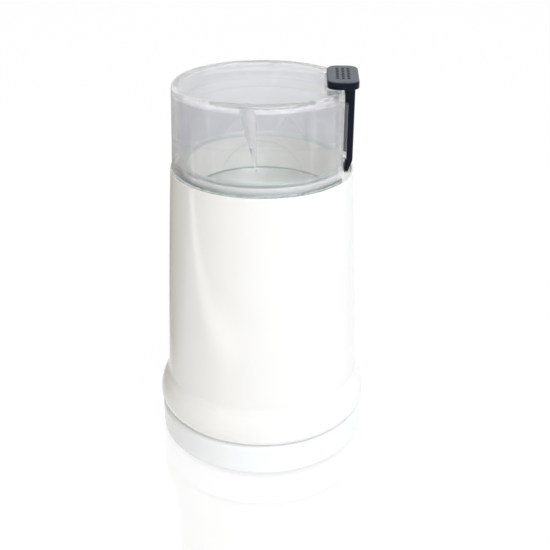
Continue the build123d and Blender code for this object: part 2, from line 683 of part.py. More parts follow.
def stator_core():
    core = block(-STATOR_X, STATOR_X, -STATOR_Y, STATOR_Y, STACK_LOW, STACK_TOP)
    core = chamfer(core.edges().filter_by(Axis.Z), 2.0)
    window_x = STATOR_X - YOKE
    window_y = STATOR_Y - YOKE
    core -= block(-window_x, window_x, -window_y, window_y, STACK_LOW - 1, STACK_TOP + 1)
    shoe = tube(BORE_R + 2.6, BORE_R, STACK_LOW, STACK_TOP)
    for side in (1, -1):
        x_in, x_out = sorted((side * 8.5, side * 20.0))
        core += shoe & block(x_in, x_out, -20, 20, STACK_LOW, STACK_TOP)
        x_in, x_out = sorted((side * (BORE_R + 1.0), side * (window_x + 1)))
        core += block(x_in, x_out, -8.0, 8.0, STACK_LOW, STACK_TOP)
    for x, y in corners(BOLT_X, BOLT_Y):
        core -= tube(BOLT_R + 0.1, 0, STACK_LOW - 1, STACK_TOP + 1, x, y)
    return core


def field_coils():
    """Two wound coils, each a rounded frame around one pole of the stator."""
    outer = block(18.7, 22.7, -13.4, 13.4, STACK_LOW - 5.4, STACK_TOP + 5.4)
    outer = fillet(outer.edges().filter_by(Axis.X), 4.0)
    window = block(18, 23, -8.3, 8.3, STACK_LOW - 0.3, STACK_TOP + 0.3)
    coil = outer - window
    return around(coil, (0, 180))


def slot_section(clearance):
    """Section of one winding slot in the armature, on the +X side."""
    half = 1.7 - clearance
    return block(9.2 + clearance, 13.4 - clearance, -half, half, STACK_LOW - 2, STACK_TOP + 2)


def armature_core():
    core = tube(ARMATURE_R, SHAFT_R + 0.02, STACK_LOW, STACK_TOP)
    mouth = block(12.0, 16.0, -0.8, 0.8, STACK_LOW - 1, STACK_TOP + 1)
    for piece in around(slot_section(0) + mouth, range(0, 360, 30)):
        core -= piece
    return core


def armature_windings():
    """Copper wire in the slots, with rounded end turns above and below the core."""
    high = tube(13.8, 5.0, STACK_TOP + 0.1, STACK_TOP + 6.6)
    high = fillet(high.faces().sort_by(Axis.Z)[-1].edges(), 2.4)
    low = tube(13.8, 5.0, STACK_LOW - 6.6, STACK_LOW - 0.1)
    low = fillet(low.faces().sort_by(Axis.Z)[0].edges(), 2.4)
    windings = high + low
    for piece in around(slot_section(0.15), range(0, 360, 30)):
        windings += piece
    return windings


def commutator():
    """Copper bars on the shaft, parted by narrow slots, with a raised end for the wires."""
    body = tube(COMMUTATOR_R, SHAFT_R + 0.02, BRUSH_Z - 6, BRUSH_Z + 6)
    body += tube(COMMUTATOR_R + 1.4, SHAFT_R + 0.02, BRUSH_Z + 4.6, BRUSH_Z + 6.6)
    slot = block(COMMUTATOR_R - 0.8, COMMUTATOR_R + 3, -0.25, 0.25, BRUSH_Z - 7, BRUSH_Z + 7)
    for piece in around(slot, range(0, 360, 15)):
        body -= piece
    return body


def motor_shaft():
    low = LOWER_PLATE - PLATE_THICK - 9.0
    shaft = tube(SHAFT_R, 0, low, BLADE_Z) + tube(THREAD_R, 0, BLADE_Z, NUT_TOP - 0.3)
    return chamfer(shaft.faces().sort_by(Axis.Z)[0].edges(), 0.6)


def thrust_washers():
    """Two thin washers that set the shaft's end play."""
    low = tube(5.4, SHAFT_R + 0.02, LOWER_PLATE - 0.7, LOWER_PLATE + 0.1)
    high = tube(5.4, SHAFT_R + 0.02, STACK_TOP + 7.0, STACK_TOP + 7.8)
    return [low, high]


def brush_holders():
    """Brass boxes on moulded carriers, either side of the commutator."""
    half = BRUSH_SIZE / 2
    box = block(-half - 1.1, half + 1.1, 11.0, 25.0, BRUSH_Z - half - 1.1, BRUSH_Z + half + 1.1)
    box -= block(-half - 0.1, half + 0.1, 10.0, 24.0, BRUSH_Z - half - 0.1, BRUSH_Z + half + 0.1)
    carrier = block(-5.5, 5.5, 12.5, 23.0, LOWER_PLATE, BRUSH_Z - half - 1.0)
    return around(box + carrier, (0, 180))


def carbon_brushes():
    half = BRUSH_SIZE / 2
    brush = block(-half, half, COMMUTATOR_R + 0.3, 19.0, BRUSH_Z - half, BRUSH_Z + half)
    return around(chamfer(brush.faces().sort_by(Axis.Y)[-1].edges(), 0.4), (0, 180))


def brush_springs():
    """Small coil springs that push the brushes against the commutator."""
    turns = 4
    wire_r = 0.25
    length = 5.0 - 2 * wire_r - 0.1
    path = Helix(pitch=length / turns, height=length, radius=1.7)
    wire = Plane(origin=path @ 0, z_dir=path % 0) * Circle(wire_r)
    coil = sweep(wire, path=path, is_frenet=True)
    spring = Pos(0, 19.0 + wire_r + 0.05, BRUSH_Z) * Rot(-90, 0, 0) * coil
    return around(spring, (0, 180))


def motor_bolts():
    low = LOWER_PLATE - PLATE_THICK
    bolts = []
    for x, y in corners(BOLT_X, BOLT_Y):
        head = tube(3.2, 0, low - 2.2, low, x, y)
        head -= block(x - 4, x + 4, y - 0.4, y + 0.4, low - 3, low - 1.2)
        bolts.append(head + tube(BOLT_R, 0, low, UPPER_PLATE + 6.4, x, y))
    return bolts


def motor_nuts():
    low = UPPER_PLATE + PLATE_THICK
    return [hexagon(STEEL_NUT_AF, low, low + 2.8, x, y) - tube(BOLT_R + 0.01, 0, low - 1, low + 5, x, y)
            for x, y in corners(BOLT_X, BOLT_Y)]


def mount_bushes():
    """Rubber grommets in the upper bracket that keep the motor's hum out of the housing."""
    bushes = []
    for x, y in corners(POST_X, POST_Y):
        bush = tube(3.6, 0, UPPER_PLATE, UPPER_PLATE + PLATE_THICK, x, y)
        bush += tube(5.2, 0, UPPER_PLATE + PLATE_THICK, POST_BOTTOM, x, y)
        bush += tube(4.6, 0, UPPER_PLATE - 1.8, UPPER_PLATE, x, y)
        bushes.append(bush - tube(1.7, 0, UPPER_PLATE - 3, POST_BOTTOM + 1, x, y))
    return bushes


def mount_screws():
    screws = []
    seat = UPPER_PLATE - 1.8
    for x, y in corners(POST_X, POST_Y):
        head = tube(3.4, 0, seat - 2.0, seat, x, y)
        head -= block(x - 4, x + 4, y - 0.4, y + 0.4, seat - 3, seat - 1.1)
        screws.append(head + tube(1.38, 0, seat, POST_BOTTOM + 8, x, y))
    return screws


# ---- blade ----------------------------------------------------------------------------------
def blade_wing():
    """One wing: flat by the hub, then rising and sharpened along its leading edge."""
    flat = block(0, 12.0, -4.4, 4.4, 0, BLADE_THICK)
    wing = block(-0.6, 16.6, -4.4, 4.4, 0, BLADE_THICK)
    edge = Pos(8.0, 4.9, BLADE_THICK) * Rot(38, 0, 0) * Box(20, 3.4, 1.6)
    tip = Pos(16.6, -4.4, 0) * Rot(0, 0, 45) * Box(5.0, 5.0, 6.0)
    wing = wing - edge - tip
    return flat + Pos(11.6, 0, 0) * Rot(0, -BLADE_RISE, 0) * wing


def cutting_blade():
    blade = tube(6.0, 0, 0, BLADE_THICK) + blade_wing() + Rot(0, 0, 180) * blade_wing()
    blade -= tube(THREAD_R + 0.02, 0, -1, 3)
    return Pos(0, 0, BLADE_Z) * blade


def blade_nut():
    nut = hexagon(8.0, BLADE_Z + BLADE_THICK, NUT_TOP)
    nut = nut & Pos(0, 0, NUT_TOP - 9.2) * Sphere(9.2)
    return nut - tube(THREAD_R + 0.01, 0, BLADE_Z, NUT_TOP - 0.3)


def slinger_washer():
    """Washer below the blade that throws powder clear of the spindle's bush."""
    washer = tube(7.2, SHAFT_R + 0.02, BOWL_FLOOR + 1.55, BLADE_Z)
    return chamfer(washer.faces().sort_by(Axis.Z)[-1].edges().sort_by(SortBy.LENGTH)[-1], 0.3)


# ---- base electrics -------------------------------------------------------------------------
def terminal_block():
    low = COVER_FLOOR
    body = block(-34.0, -21.0, -9.0, 9.0, low, low + 10.0)
    body = fillet(body.edges().filter_by(Axis.Z), 1.2)
    for y in (-5.0, 5.0):
        body -= tube(1.8, 0, low + 4.0, low + 11.0, -27.5, y)
        body -= Pos(-27.5, y, low + 3.0) * Rot(0, 90, 0) * Cylinder(1.5, 20.0)
    return body


def terminal_screws():
    low = COVER_FLOOR + 2.5 + 1.0
    screws = []
    for y in (-5.0, 5.0):
        screw = tube(1.7, 0, low + 2.0, low + 6.0, -27.5, y)
        screws.append(screw - block(-30, -25, y - 0.3, y + 0.3, low + 5.2, low + 7))
    return screws


def suppressor_capacitor():
    low = COVER_FLOOR
    body = block(17.0, 34.0, -4.5, 4.5, low, low + 11.0)
    return fillet(body.edges(), 0.8)


# ---- writing the pieces ---------------------------------------------------------------------
PIECES = [
    housing_shell, base_cover, rubber_feet, base_screws, cord_inlet_bush,
    grinding_bowl, bowl_gasket, bowl_clamp_bush, bowl_clamp_nut,
    clear_lid, push_key,
    plunger_rod, return_spring, switch_bracket, switch_screws, switch_body, switch_lever,
    switch_button, switch_terminals,
    upper_bracket, lower_bracket, upper_bearing, lower_bearing, stator_core, field_coils,
    armature_core, armature_windings, commutator, motor_shaft, thrust_washers,
    brush_holders, carbon_brushes, brush_springs, motor_bolts, motor_nuts,
    mount_bushes, mount_screws,
    cutting_blade, blade_nut, slinger_washer,
    terminal_block, terminal_screws, suppressor_capacitor,
]

os.makedirs("parts", exist_ok=True)
for piece in PIECES:
    save(piece.__name__, piece())
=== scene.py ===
"""Electric spice grinder: finishes, modelled pieces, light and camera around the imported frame."""
import json
from math import cos, pi, radians, sin, sqrt

import bpy
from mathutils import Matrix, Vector


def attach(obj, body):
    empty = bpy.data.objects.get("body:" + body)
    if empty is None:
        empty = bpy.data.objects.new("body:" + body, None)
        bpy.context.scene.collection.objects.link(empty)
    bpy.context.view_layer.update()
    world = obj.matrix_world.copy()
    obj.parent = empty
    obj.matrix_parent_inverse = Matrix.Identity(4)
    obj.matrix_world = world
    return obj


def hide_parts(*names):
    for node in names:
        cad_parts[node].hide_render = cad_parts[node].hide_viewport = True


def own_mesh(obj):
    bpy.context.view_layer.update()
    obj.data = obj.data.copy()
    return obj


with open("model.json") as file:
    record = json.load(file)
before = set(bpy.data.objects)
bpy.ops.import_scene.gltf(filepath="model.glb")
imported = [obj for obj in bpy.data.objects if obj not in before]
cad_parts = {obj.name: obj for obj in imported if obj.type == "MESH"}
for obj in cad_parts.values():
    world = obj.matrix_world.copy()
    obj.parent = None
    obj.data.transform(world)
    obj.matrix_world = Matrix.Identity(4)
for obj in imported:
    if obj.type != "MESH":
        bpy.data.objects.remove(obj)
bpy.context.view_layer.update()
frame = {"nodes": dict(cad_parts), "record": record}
MM = 0.001

# ---- camera ---------------------------------------------------------------------------------
CAMERA_REACH = 0.4188        # metres from the spindle's axis
CAMERA_HEIGHT = 0.2859
CAMERA_PITCH = 25.96         # degrees down
CAMERA_TURN = 3.0            # degrees round towards the key
CAMERA_LENS = 63.3
FRAME_PIXELS = 550
AXIS_OFFSET_PIXELS = 13      # the grinder stands this far left of the middle


def add_camera():
    """A camera a little above the lid, that looks down at the front."""
    data = bpy.data.cameras.new("camera")
    data.lens = CAMERA_LENS
    data.sensor_width = 36
    data.shift_x = AXIS_OFFSET_PIXELS / FRAME_PIXELS
    camera = bpy.data.objects.new("camera", data)
    turn = radians(CAMERA_TURN)
    camera.location = (CAMERA_REACH * sin(turn), -CAMERA_REACH * cos(turn), CAMERA_HEIGHT)
    camera.rotation_euler = (radians(90 - CAMERA_PITCH), 0, turn)
    bpy.context.scene.collection.objects.link(camera)
    bpy.context.scene.camera = camera


# ---- material helpers -----------------------------------------------------------------------
def linear(code):
    """An sRGB hex colour as a linear RGBA tuple."""
    channels = [int(code[i:i + 2], 16) / 255 for i in (1, 3, 5)]
    return tuple(c / 12.92 if c <= 0.04045 else ((c + 0.055) / 1.055) ** 2.4 for c in channels) + (1.0,)


def add_node(tree, kind, values=None, wires=None, **attributes):
    """One shader node with its attributes, input values and incoming wires."""
    node = tree.nodes.new("ShaderNode" + kind)
    for name, value in attributes.items():
        setattr(node, name, value)
    for name, value in (values or {}).items():
        node.inputs[name].default_value = value
    for name, socket in (wires or {}).items():
        tree.links.new(socket, node.inputs[name])
    return node


def new_material(name):
    """An empty node material: its tree, and a function that wires a shader to its output."""
    material = bpy.data.materials.new(name)
    material.use_nodes = True
    tree = material.node_tree
    tree.nodes.clear()
    output = add_node(tree, "OutputMaterial")

    def finish_with(shader):
        tree.links.new(shader.outputs[0], output.inputs["Surface"])
        return material

    return tree, finish_with


def grain(tree, size_mm, detail=2.0, stretch=(1, 1, 1)):
    """Noise whose grains are about size_mm across, on object coordinates."""
    place = add_node(tree, "TexCoord").outputs["Object"]
    spread = add_node(tree, "Mapping", {"Scale": stretch}, {"Vector": place}).outputs[0]
    scale = 1 / (size_mm * MM)
    values = {"Scale": scale, "Detail": detail}
    return add_node(tree, "TexNoise", values, {"Vector": spread}).outputs["Fac"]


def height_band(tree, rise, fall=None):
    """1 above a soft edge between two heights in millimetres, and 0 again past a second edge."""
    place = add_node(tree, "TexCoord").outputs["Object"]
    height = add_node(tree, "SeparateXYZ", None, {0: place}).outputs["Z"]
    steps = [
        add_node(
            tree, "MapRange", {"From Min": start * MM, "From Max": end * MM}, {"Value": height},
            interpolation_type="SMOOTHSTEP",
        ).outputs[0]
        for start, end in filter(None, (rise, fall))
    ]
    if fall is None:
        return steps[0]
    return add_node(tree, "Math", None, {0: steps[0], 1: steps[1]}, operation="SUBTRACT").outputs[0]


def layered(tree, base, *layers):
    """A colour from hex colours: the base, and each layer over it where its mask is 1."""
    colour = None
    for mask, code in layers:
        mix = add_node(tree, "Mix", {6: linear(base), 7: linear(code)}, {0: mask}, data_type="RGBA")
        if colour is not None:
            tree.links.new(colour, mix.inputs[6])
        colour = mix.outputs[2]
    return colour


def by_pattern(tree, colour=None, roughness=None, relief=None):
    """Wires for the shader from patterns.

    Each is a tuple that starts with its pattern: with two hex colours, with the lowest and highest
    roughness, or with a depth in millimetres.
    """
    wires = {}
    span = {"From Min": 0.3, "From Max": 0.7}
    if colour:
        pattern, light, shade = colour
        share = add_node(tree, "MapRange", span, {"Value": pattern}).outputs[0]
        wires["Base Color"] = layered(tree, light, (share, shade))
    if roughness:
        pattern, low, high = roughness
        values = {**span, "To Min": low, "To Max": high}
        wires["Roughness"] = add_node(tree, "MapRange", values, {"Value": pattern}).outputs[0]
    if relief:
        pattern, depth_mm = relief
        values = {"Distance": depth_mm * MM, "Strength": 1.0}
        wires["Normal"] = add_node(tree, "Bump", values, {"Height": pattern}).outputs[0]
    return wires


# ---- finishes -------------------------------------------------------------------------------
# Sizes are in millimetres. A grain or line that is really finer than about 0.3 mm is drawn coarser,
# because it wouldn't show: polishing rings and tool marks are two to five times their real pitch.
RING_MM = 0.5                # polishing rings of the bowl
LAMINATION_MM = 0.7          # sheets of 0.5 mm, drawn coarser
WIRE_MM = 0.6                # wire of 0.35 mm, drawn coarser
WAVE_RATE = 20               # a wave node repeats each 2 pi / 20 of its scaled place
ABS_IOR = 1.53
# the thumb plate's face is painted grey between these heights: a painted highlight
KEY_LIT_TOP_FROM = (179.9, 180.4)   # heights on the object: the thumb plate's face
KEY_LIT_TOP_TO = (180.56, 180.6)    # and the tops of its dots
# below these heights the lid's foot is painted a darker green: painted shade
FOOT_OF_LID = (137.5, 141.5)
BOWL_WALL = (124.2, 125.6)   # where the floor turns into the wall
# a painted shade line in the crease between these heights
BOWL_SHADE_LINE_FROM = (124.0, 124.4)
BOWL_SHADE_LINE_TO = (124.6, 125.0)
# from here the rolled bead is painted darker: painted shade that dims its highlight
BOWL_BEAD = (140.2, 141.0)
BOWL_BEAD_SHINE = (140.4, 141.2)


def glossy_abs(name, light, shade, roughness):
    """ABS from a polished mould: an even, wet-looking gloss, with the orange peel of a thick wall."""
    tree, finish_with = new_material(name)
    cloud = grain(tree, 38.0)
    wear = grain(tree, 9.0)
    peel = grain(tree, 1.6, 1.0)
    return finish_with(add_node(tree, "BsdfPrincipled", {"IOR": ABS_IOR}, by_pattern(
        tree, (cloud, light, shade), (wear, roughness * 0.85, roughness * 1.2), (peel, 0.004)
    )))


def blue_black_abs():
    """Blue-black ABS, satin. The thumb plate's face is painted grey up to its grip dots, whose tops stay
    dark: a painted highlight for the light on its top.
    """
    tree, finish_with = new_material("blue_black_abs")
    marks = grain(tree, 1.4, 3.0)
    lit_top = height_band(tree, KEY_LIT_TOP_FROM, KEY_LIT_TOP_TO)
    wires = by_pattern(tree, None, (marks, 0.36, 0.48), (marks, 0.006))
    # painted highlight: the thumb plate's face is painted grey, while the tops of its dots stay dark
    wires["Base Color"] = layered(tree, "#08131F", (lit_top, "#5A616A"))
    return finish_with(add_node(
        tree, "BsdfPrincipled", {"IOR": ABS_IOR, "Specular IOR Level": 0.12}, wires
    ))


def clear_styrene():
    """Clear SAN, injection moulded: glossy and faintly grey, with a thicker foot that is painted a darker
    green, painted shade for the dim band where the lid meets the housing.

    Use has made it a little milky, and it lets light through to what it covers.
    """
    tree, finish_with = new_material("clear_styrene")
    flow = grain(tree, 24.0, 1.0)
    handling = grain(tree, 7.0, 3.0)
    wires = by_pattern(tree, None, (handling, 0.02, 0.06), (flow, 0.02))
    # painted shade: the lid's foot is painted a darker green, and the rest a faint grey white
    wires["Base Color"] = layered(tree, "#CFE0DB", (height_band(tree, FOOT_OF_LID), "#FBFBFD"))
    body = add_node(tree, "BsdfPrincipled", {"IOR": 1.5, "Transmission Weight": 0.95}, wires)
    clear = add_node(tree, "BsdfTransparent", {"Color": linear("#FBFBFC")})
    paths = add_node(tree, "LightPath").outputs
    soft = add_node(
        tree, "Math", None, {0: paths["Is Shadow Ray"], 1: paths["Is Diffuse Ray"]}, operation="MAXIMUM"
    )
    share = add_node(tree, "Math", {1: 0.25}, {0: soft.outputs[0]}, operation="MAXIMUM")
    return finish_with(add_node(
        tree, "MixShader", None, {0: share.outputs[0], 1: body.outputs[0], 2: clear.outputs[0]}
    ))


def drawn_stainless():
    """Deep-drawn stainless: a satin wall over a brighter floor, with a painted shade line in the crease.

    Drawing and polishing leave fine rings, which spread a highlight across them. The wall is painted a
    lighter cream and the floor a darker green-grey, painted light and shade on one steel, and the rolled
    bead is painted darker, painted shade that dims its highlight.
    """
    tree, finish_with = new_material("drawn_stainless")
    place = add_node(tree, "TexCoord").outputs["Object"]
    height = add_node(tree, "SeparateXYZ", None, {0: place}).outputs["Z"]
    flat = add_node(tree, "VectorMath", {1: (1, 1, 0)}, {0: place}, operation="MULTIPLY").outputs[0]
    radius = add_node(tree, "VectorMath", None, {0: flat}, operation="LENGTH").outputs["Value"]
    rings = add_node(tree, "CombineXYZ", None, {"X": radius, "Y": height}).outputs[0]
    scale = 1 / (RING_MM * MM)
    lines = add_node(tree, "TexNoise", {"Scale": scale, "Detail": 3.0}, {"Vector": rings}).outputs["Fac"]
    wall = height_band(tree, BOWL_WALL)
    satin = height_band(tree, BOWL_WALL, BOWL_BEAD_SHINE)
    crease_shade = height_band(tree, BOWL_SHADE_LINE_FROM, BOWL_SHADE_LINE_TO)
    bead = height_band(tree, BOWL_BEAD)
    wires = by_pattern(tree, None, (lines, 0.26, 0.38), (lines, 0.006))
    wires["Roughness"] = add_node(
        tree, "Math", {1: 0.14}, {0: wall, 2: wires["Roughness"]}, operation="MULTIPLY_ADD"
    ).outputs[0]
    wires["Metallic"] = add_node(
        tree, "MapRange", {"To Min": 0.9, "To Max": 0.3}, {"Value": satin}
    ).outputs[0]
    # painted light and shade: a lighter cream wall over a darker green-grey floor, a darker bead, and a
    # shade line in the crease
    wires["Base Color"] = layered(
        tree, "#CDD6D3", (wall, "#FDFBF7"), (bead, "#C3CBC9"), (crease_shade, "#56625F")
    )
    return finish_with(add_node(tree, "BsdfPrincipled", None, wires))


def plain_metal(name, light, shade, roughness, grain_mm, stretch=(1, 1, 1), depth_mm=0.01):
    """A bare or plated metal with tool marks or casting grain of the given size."""
    tree, finish_with = new_material(name)
    marks = grain(tree, grain_mm, 4.0, stretch)
    return finish_with(add_node(tree, "BsdfPrincipled", {"Metallic": 1.0}, by_pattern(
        tree, (marks, light, shade), (marks, roughness * 0.75, roughness * 1.3), (marks, depth_mm)
    )))


def matt_moulding(name, light, shade, roughness, grain_mm, depth_mm=0.015):
    """A moulded or pressed piece without gloss: nylon, phenolic, rubber, epoxy or graphite."""
    tree, finish_with = new_material(name)
    marks = grain(tree, grain_mm, 3.0)
    return finish_with(add_node(tree, "BsdfPrincipled", {"IOR": 1.5}, by_pattern(
        tree, (marks, light, shade), (marks, roughness * 0.85, roughness * 1.1), (marks, depth_mm)
    )))


def striped_metal(name, light, dark, pitch_mm, roughness, depth_mm):
    """Metal in layers: stacked sheets or wound wire, with a dark line at each pitch upwards."""
    tree, finish_with = new_material(name)
    place = add_node(tree, "TexCoord").outputs["Object"]
    wave = add_node(
        tree, "TexWave", {"Scale": 2 * pi / (WAVE_RATE * pitch_mm * MM), "Distortion": 0.0},
        {"Vector": place}, wave_type="BANDS", bands_direction="Z", wave_profile="SIN",
    ).outputs["Fac"]
    wires = by_pattern(tree, None, None, (wave, depth_mm))
    wires["Base Color"] = layered(tree, dark, (wave, light))
    return finish_with(add_node(
        tree, "BsdfPrincipled", {"Metallic": 1.0, "Roughness": roughness}, wires
    ))


def make_finishes():
    """Every finish, by the record's material slot.

    A stretch above 1 makes the marks that much finer on its axis, so finer in z reads as rings.
    """
    return {
        # a warm white with a wet gloss
        "housing_abs": glossy_abs("polished_white_abs", "#F9F9F8", "#F7F7F6", 0.12),
        # a cooler white, a little softer in its gloss
        "base_abs": glossy_abs("cool_white_abs", "#FAFDFF", "#F7FBFE", 0.16),
        "key_abs": blue_black_abs(),
        "clear_styrene": clear_styrene(),
        "bowl_steel": drawn_stainless(),
        # grinding leaves fine bright scratches along the wings
        "blade_steel": plain_metal("ground_stainless", "#C9C9C8", "#B4B4B4", 0.28, 0.8, (1, 12, 1)),
        # barrel-plated zinc: a bluish grey, cloudy and half bright
        "screw_steel": plain_metal("zinc_plated_steel", "#B9BBBD", "#A3A5A6", 0.34, 1.2),
        # drawn wire: smooth and bright
        "spring_steel": plain_metal("bright_spring_steel", "#B5B6B8", "#9FA1A4", 0.25, 0.6),
        # chromated sheet: a straw yellow in faint clouds
        "plated_steel": plain_metal("yellow_zinc_sheet", "#BDB893", "#A9A27C", 0.36, 2.2),
        # a centreless-ground spindle: near mirror, with fine rings
        "ground_steel": plain_metal("ground_shaft_steel", "#C4C5C7", "#AEB0B2", 0.22, 0.7, (1, 1, 14)),
        # die-cast: dull grey with a fine orange peel
        "cast_aluminium": plain_metal("die_cast_aluminium", "#B4B5B6", "#9B9C9E", 0.45, 0.9, depth_mm=0.03),
        # turned brass: yellow, with rings from the tool
        "brass": plain_metal("turned_brass", "#C9A357", "#B48C42", 0.28, 0.7, (1, 1, 8)),
        # pressed powder soaked in oil: brown, open-grained and dull
        "sintered_bronze": plain_metal(
            "oiled_sintered_bronze", "#8F6E3F", "#765830", 0.5, 0.35, depth_mm=0.02
        ),
        # stamped sheets: dark grey with a line at each joint
        "lamination_steel": striped_metal(
            "stacked_silicon_steel", "#7C7F84", "#34363A", LAMINATION_MM, 0.42, 0.08
        ),
        # varnished wire: a deep copper red, with a dark line between the turns
        "copper_wire": striped_metal("enamelled_copper_wire", "#A5552B", "#5A2410", WIRE_MM, 0.3, 0.15),
        # the commutator's bars: turned bright where the brushes run
        "copper_bar": plain_metal("bright_copper_bar", "#C77B4C", "#A85F35", 0.24, 0.6, (1, 1, 10)),
        # black rubber: no shine, a fine tooth from the mould
        "rubber": matt_moulding("moulded_rubber", "#1B1B1C", "#141415", 0.75, 0.8, 0.03),
        # undyed nylon: a waxy cream
        "white_nylon": matt_moulding("natural_nylon", "#E6E2D6", "#DDD8CA", 0.45, 2.0),
        # dyed nylon: a plain red, waxy
        "red_nylon": matt_moulding("red_nylon", "#A9261E", "#982019", 0.4, 2.0),
        # thermoset: near black, half dull
        "black_phenolic": matt_moulding("black_phenolic", "#1D1C1B", "#151413", 0.5, 0.7),
        # pressed graphite: dark grey with a soft sheen
        "carbon": matt_moulding("pressed_graphite", "#2A2B2D", "#1E1F21", 0.55, 0.4, 0.02),
        # a dipped coat: thick, glossy yellow
        "yellow_epoxy": matt_moulding("cast_yellow_epoxy", "#D8A024", "#C99319", 0.25, 4.0, 0.01),
    }


def finish_nodes(finishes):
    """Gives every CAD node the finish of its slot."""
    slots = {entry["node"]: entry["material_slot"] for entry in frame["record"]["subparts"]}
    for name, node in frame["nodes"].items():
        material = finishes[slots[name]]
        if not node.material_slots:
            node.data.materials.append(material)
        for place in node.material_slots:
            place.material = material


# ---- light and floor ------------------------------------------------------------------------
TABLE_SIZE = 3.0             # metres
TABLE_MIRROR = 0.7           # share of mirror over matt white
TABLE_GLOW_SHARE = 0.72      # share of plain white in what is seen of the table
TABLE_GLOW = 1.04
STREAK_GLOW = 2.8            # added where the streak of light lies
GLOW_THROUGH_LID = 1.05
ROOM_LIGHT = 0.74
LAMPS = (
    # name, place, height that it is aimed at, size, watts, colour
    ("softbox_right", (0.75, -1.0, 0.85), 0.09, (1.3, 1.3), 1.2, "#FFFFFF"),
    ("softbox_top", (0.2, -0.4, 0.8), 0.12, (0.6, 0.45), 3.2, "#FFFFFF"),
    ("fill_front", (-0.1, -0.9, 0.2), 0.06, (0.9, 0.3), 0.1, "#EFF6FF"),
    ("strip_left", (-0.62, -0.75, 0.55), 0.09, (0.22, 1.1), 0.7, "#FFF3E0"),
)


def seen_past(tree):
    """1 for rays that the camera, gloss or glass sends past the object, and 0 for the light on it."""
    paths = add_node(tree, "LightPath").outputs
    seen = paths["Is Camera Ray"]
    for kind in ("Is Glossy Ray", "Is Transmission Ray"):
        seen = add_node(tree, "Math", None, {0: seen, 1: paths[kind]}, operation="MAXIMUM").outputs[0]
    return seen


def table_patch(tree, centre, turn, x_edge, y_edge, two_sided=False):
    """1 where gloss sees a patch of the table. It fades in over an edge in x and one in y, in metres."""
    place = add_node(tree, "TexCoord").outputs["Object"]
    moved = add_node(
        tree, "Mapping", {"Location": centre, "Rotation": (0, 0, radians(turn))}, {"Vector": place},
        vector_type="TEXTURE",
    ).outputs[0]
    axes = add_node(tree, "SeparateXYZ", None, {0: moved}).outputs
    across = axes["Y"]
    if two_sided:
        across = add_node(tree, "Math", None, {0: across}, operation="ABSOLUTE").outputs[0]
    seen = add_node(tree, "LightPath").outputs["Is Glossy Ray"]
    for value, (outside, inside) in ((axes["X"], x_edge), (across, y_edge)):
        edge = add_node(
            tree, "MapRange", {"From Min": outside, "From Max": inside}, {"Value": value},
            interpolation_type="SMOOTHSTEP",
        ).outputs[0]
        seen = add_node(tree, "Math", None, {0: seen, 1: edge}, operation="MULTIPLY").outputs[0]
    return seen


def table_glow(tree):
    """What is seen of the table: white to the eye, greyer through the lid, and uneven in the gloss.

    A soft band of light on its front left makes the slanting streak in the housing's gloss, and its
    back left is warmer and dimmer.
    """
    streak = table_patch(tree, (-0.22, -0.115, 0), -23, (0.23, 0.1), (0.05, 0.0), two_sided=True)
    warm = table_patch(tree, (0, 0, 0), 0, (-0.05, -0.12), (-0.02, 0.06))
    strength = add_node(
        tree, "Math", {1: STREAK_GLOW, 2: TABLE_GLOW}, {0: streak}, operation="MULTIPLY_ADD"
    ).outputs[0]
    colour = layered(tree, "#FFFFFF", (warm, "#5A4B26"))
    white = add_node(tree, "Emission", None, {"Color": colour, "Strength": strength})
    through = add_node(tree, "Emission", {"Color": linear("#ABAEB5"), "Strength": GLOW_THROUGH_LID})
    passed = add_node(tree, "LightPath").outputs["Is Transmission Ray"]
    return add_node(tree, "MixShader", None, {0: passed, 1: white.outputs[0], 2: through.outputs[0]})


def add_floor():
    """A white acrylic table: almost shadowless, with a faint mirror image of what stands on it."""
    bpy.ops.mesh.primitive_plane_add(size=TABLE_SIZE, location=(0, 0, 0))
    floor = bpy.context.object
    floor.name = "studio_floor"
    tree, finish_with = new_material("white_acrylic_table")
    matt = add_node(tree, "BsdfDiffuse", {"Color": linear("#F8F8F8")})
    mirror = add_node(tree, "BsdfGlossy", {"Color": linear("#FFFFFF"), "Roughness": 0.06})
    surface = add_node(tree, "MixShader", {0: TABLE_MIRROR}, {1: matt.outputs[0], 2: mirror.outputs[0]})
    share = add_node(tree, "Math", {1: TABLE_GLOW_SHARE}, {0: seen_past(tree)}, operation="MULTIPLY")
    floor.data.materials.append(finish_with(add_node(
        tree, "MixShader", None, {0: share.outputs[0], 1: surface.outputs[0], 2: table_glow(tree).outputs[0]}
    )))


def add_world():
    """White to look at; as light it is softer and warmer on the left and cooler on the right."""
    world = bpy.data.worlds.new("studio")
    world.use_nodes = True
    tree = world.node_tree
    tree.nodes.clear()
    direction = add_node(tree, "TexCoord").outputs["Generated"]
    sideways = add_node(tree, "SeparateXYZ", None, {0: direction}).outputs["X"]
    side = add_node(tree, "MapRange", {"From Min": -1.0, "From Max": 0.25}, {"Value": sideways}).outputs[0]
    colour = layered(tree, "#726136", (side, "#FAFDFF"))
    light = add_node(tree, "Background", {"Strength": ROOM_LIGHT}, {"Color": colour})
    white = add_node(tree, "Background", {"Color": linear("#FFFFFF"), "Strength": 1.0})
    both = add_node(
        tree, "MixShader", None, {0: seen_past(tree), 1: light.outputs[0], 2: white.outputs[0]}
    )
    output = add_node(tree, "OutputWorld")
    tree.links.new(both.outputs[0], output.inputs["Surface"])
    bpy.context.scene.world = world


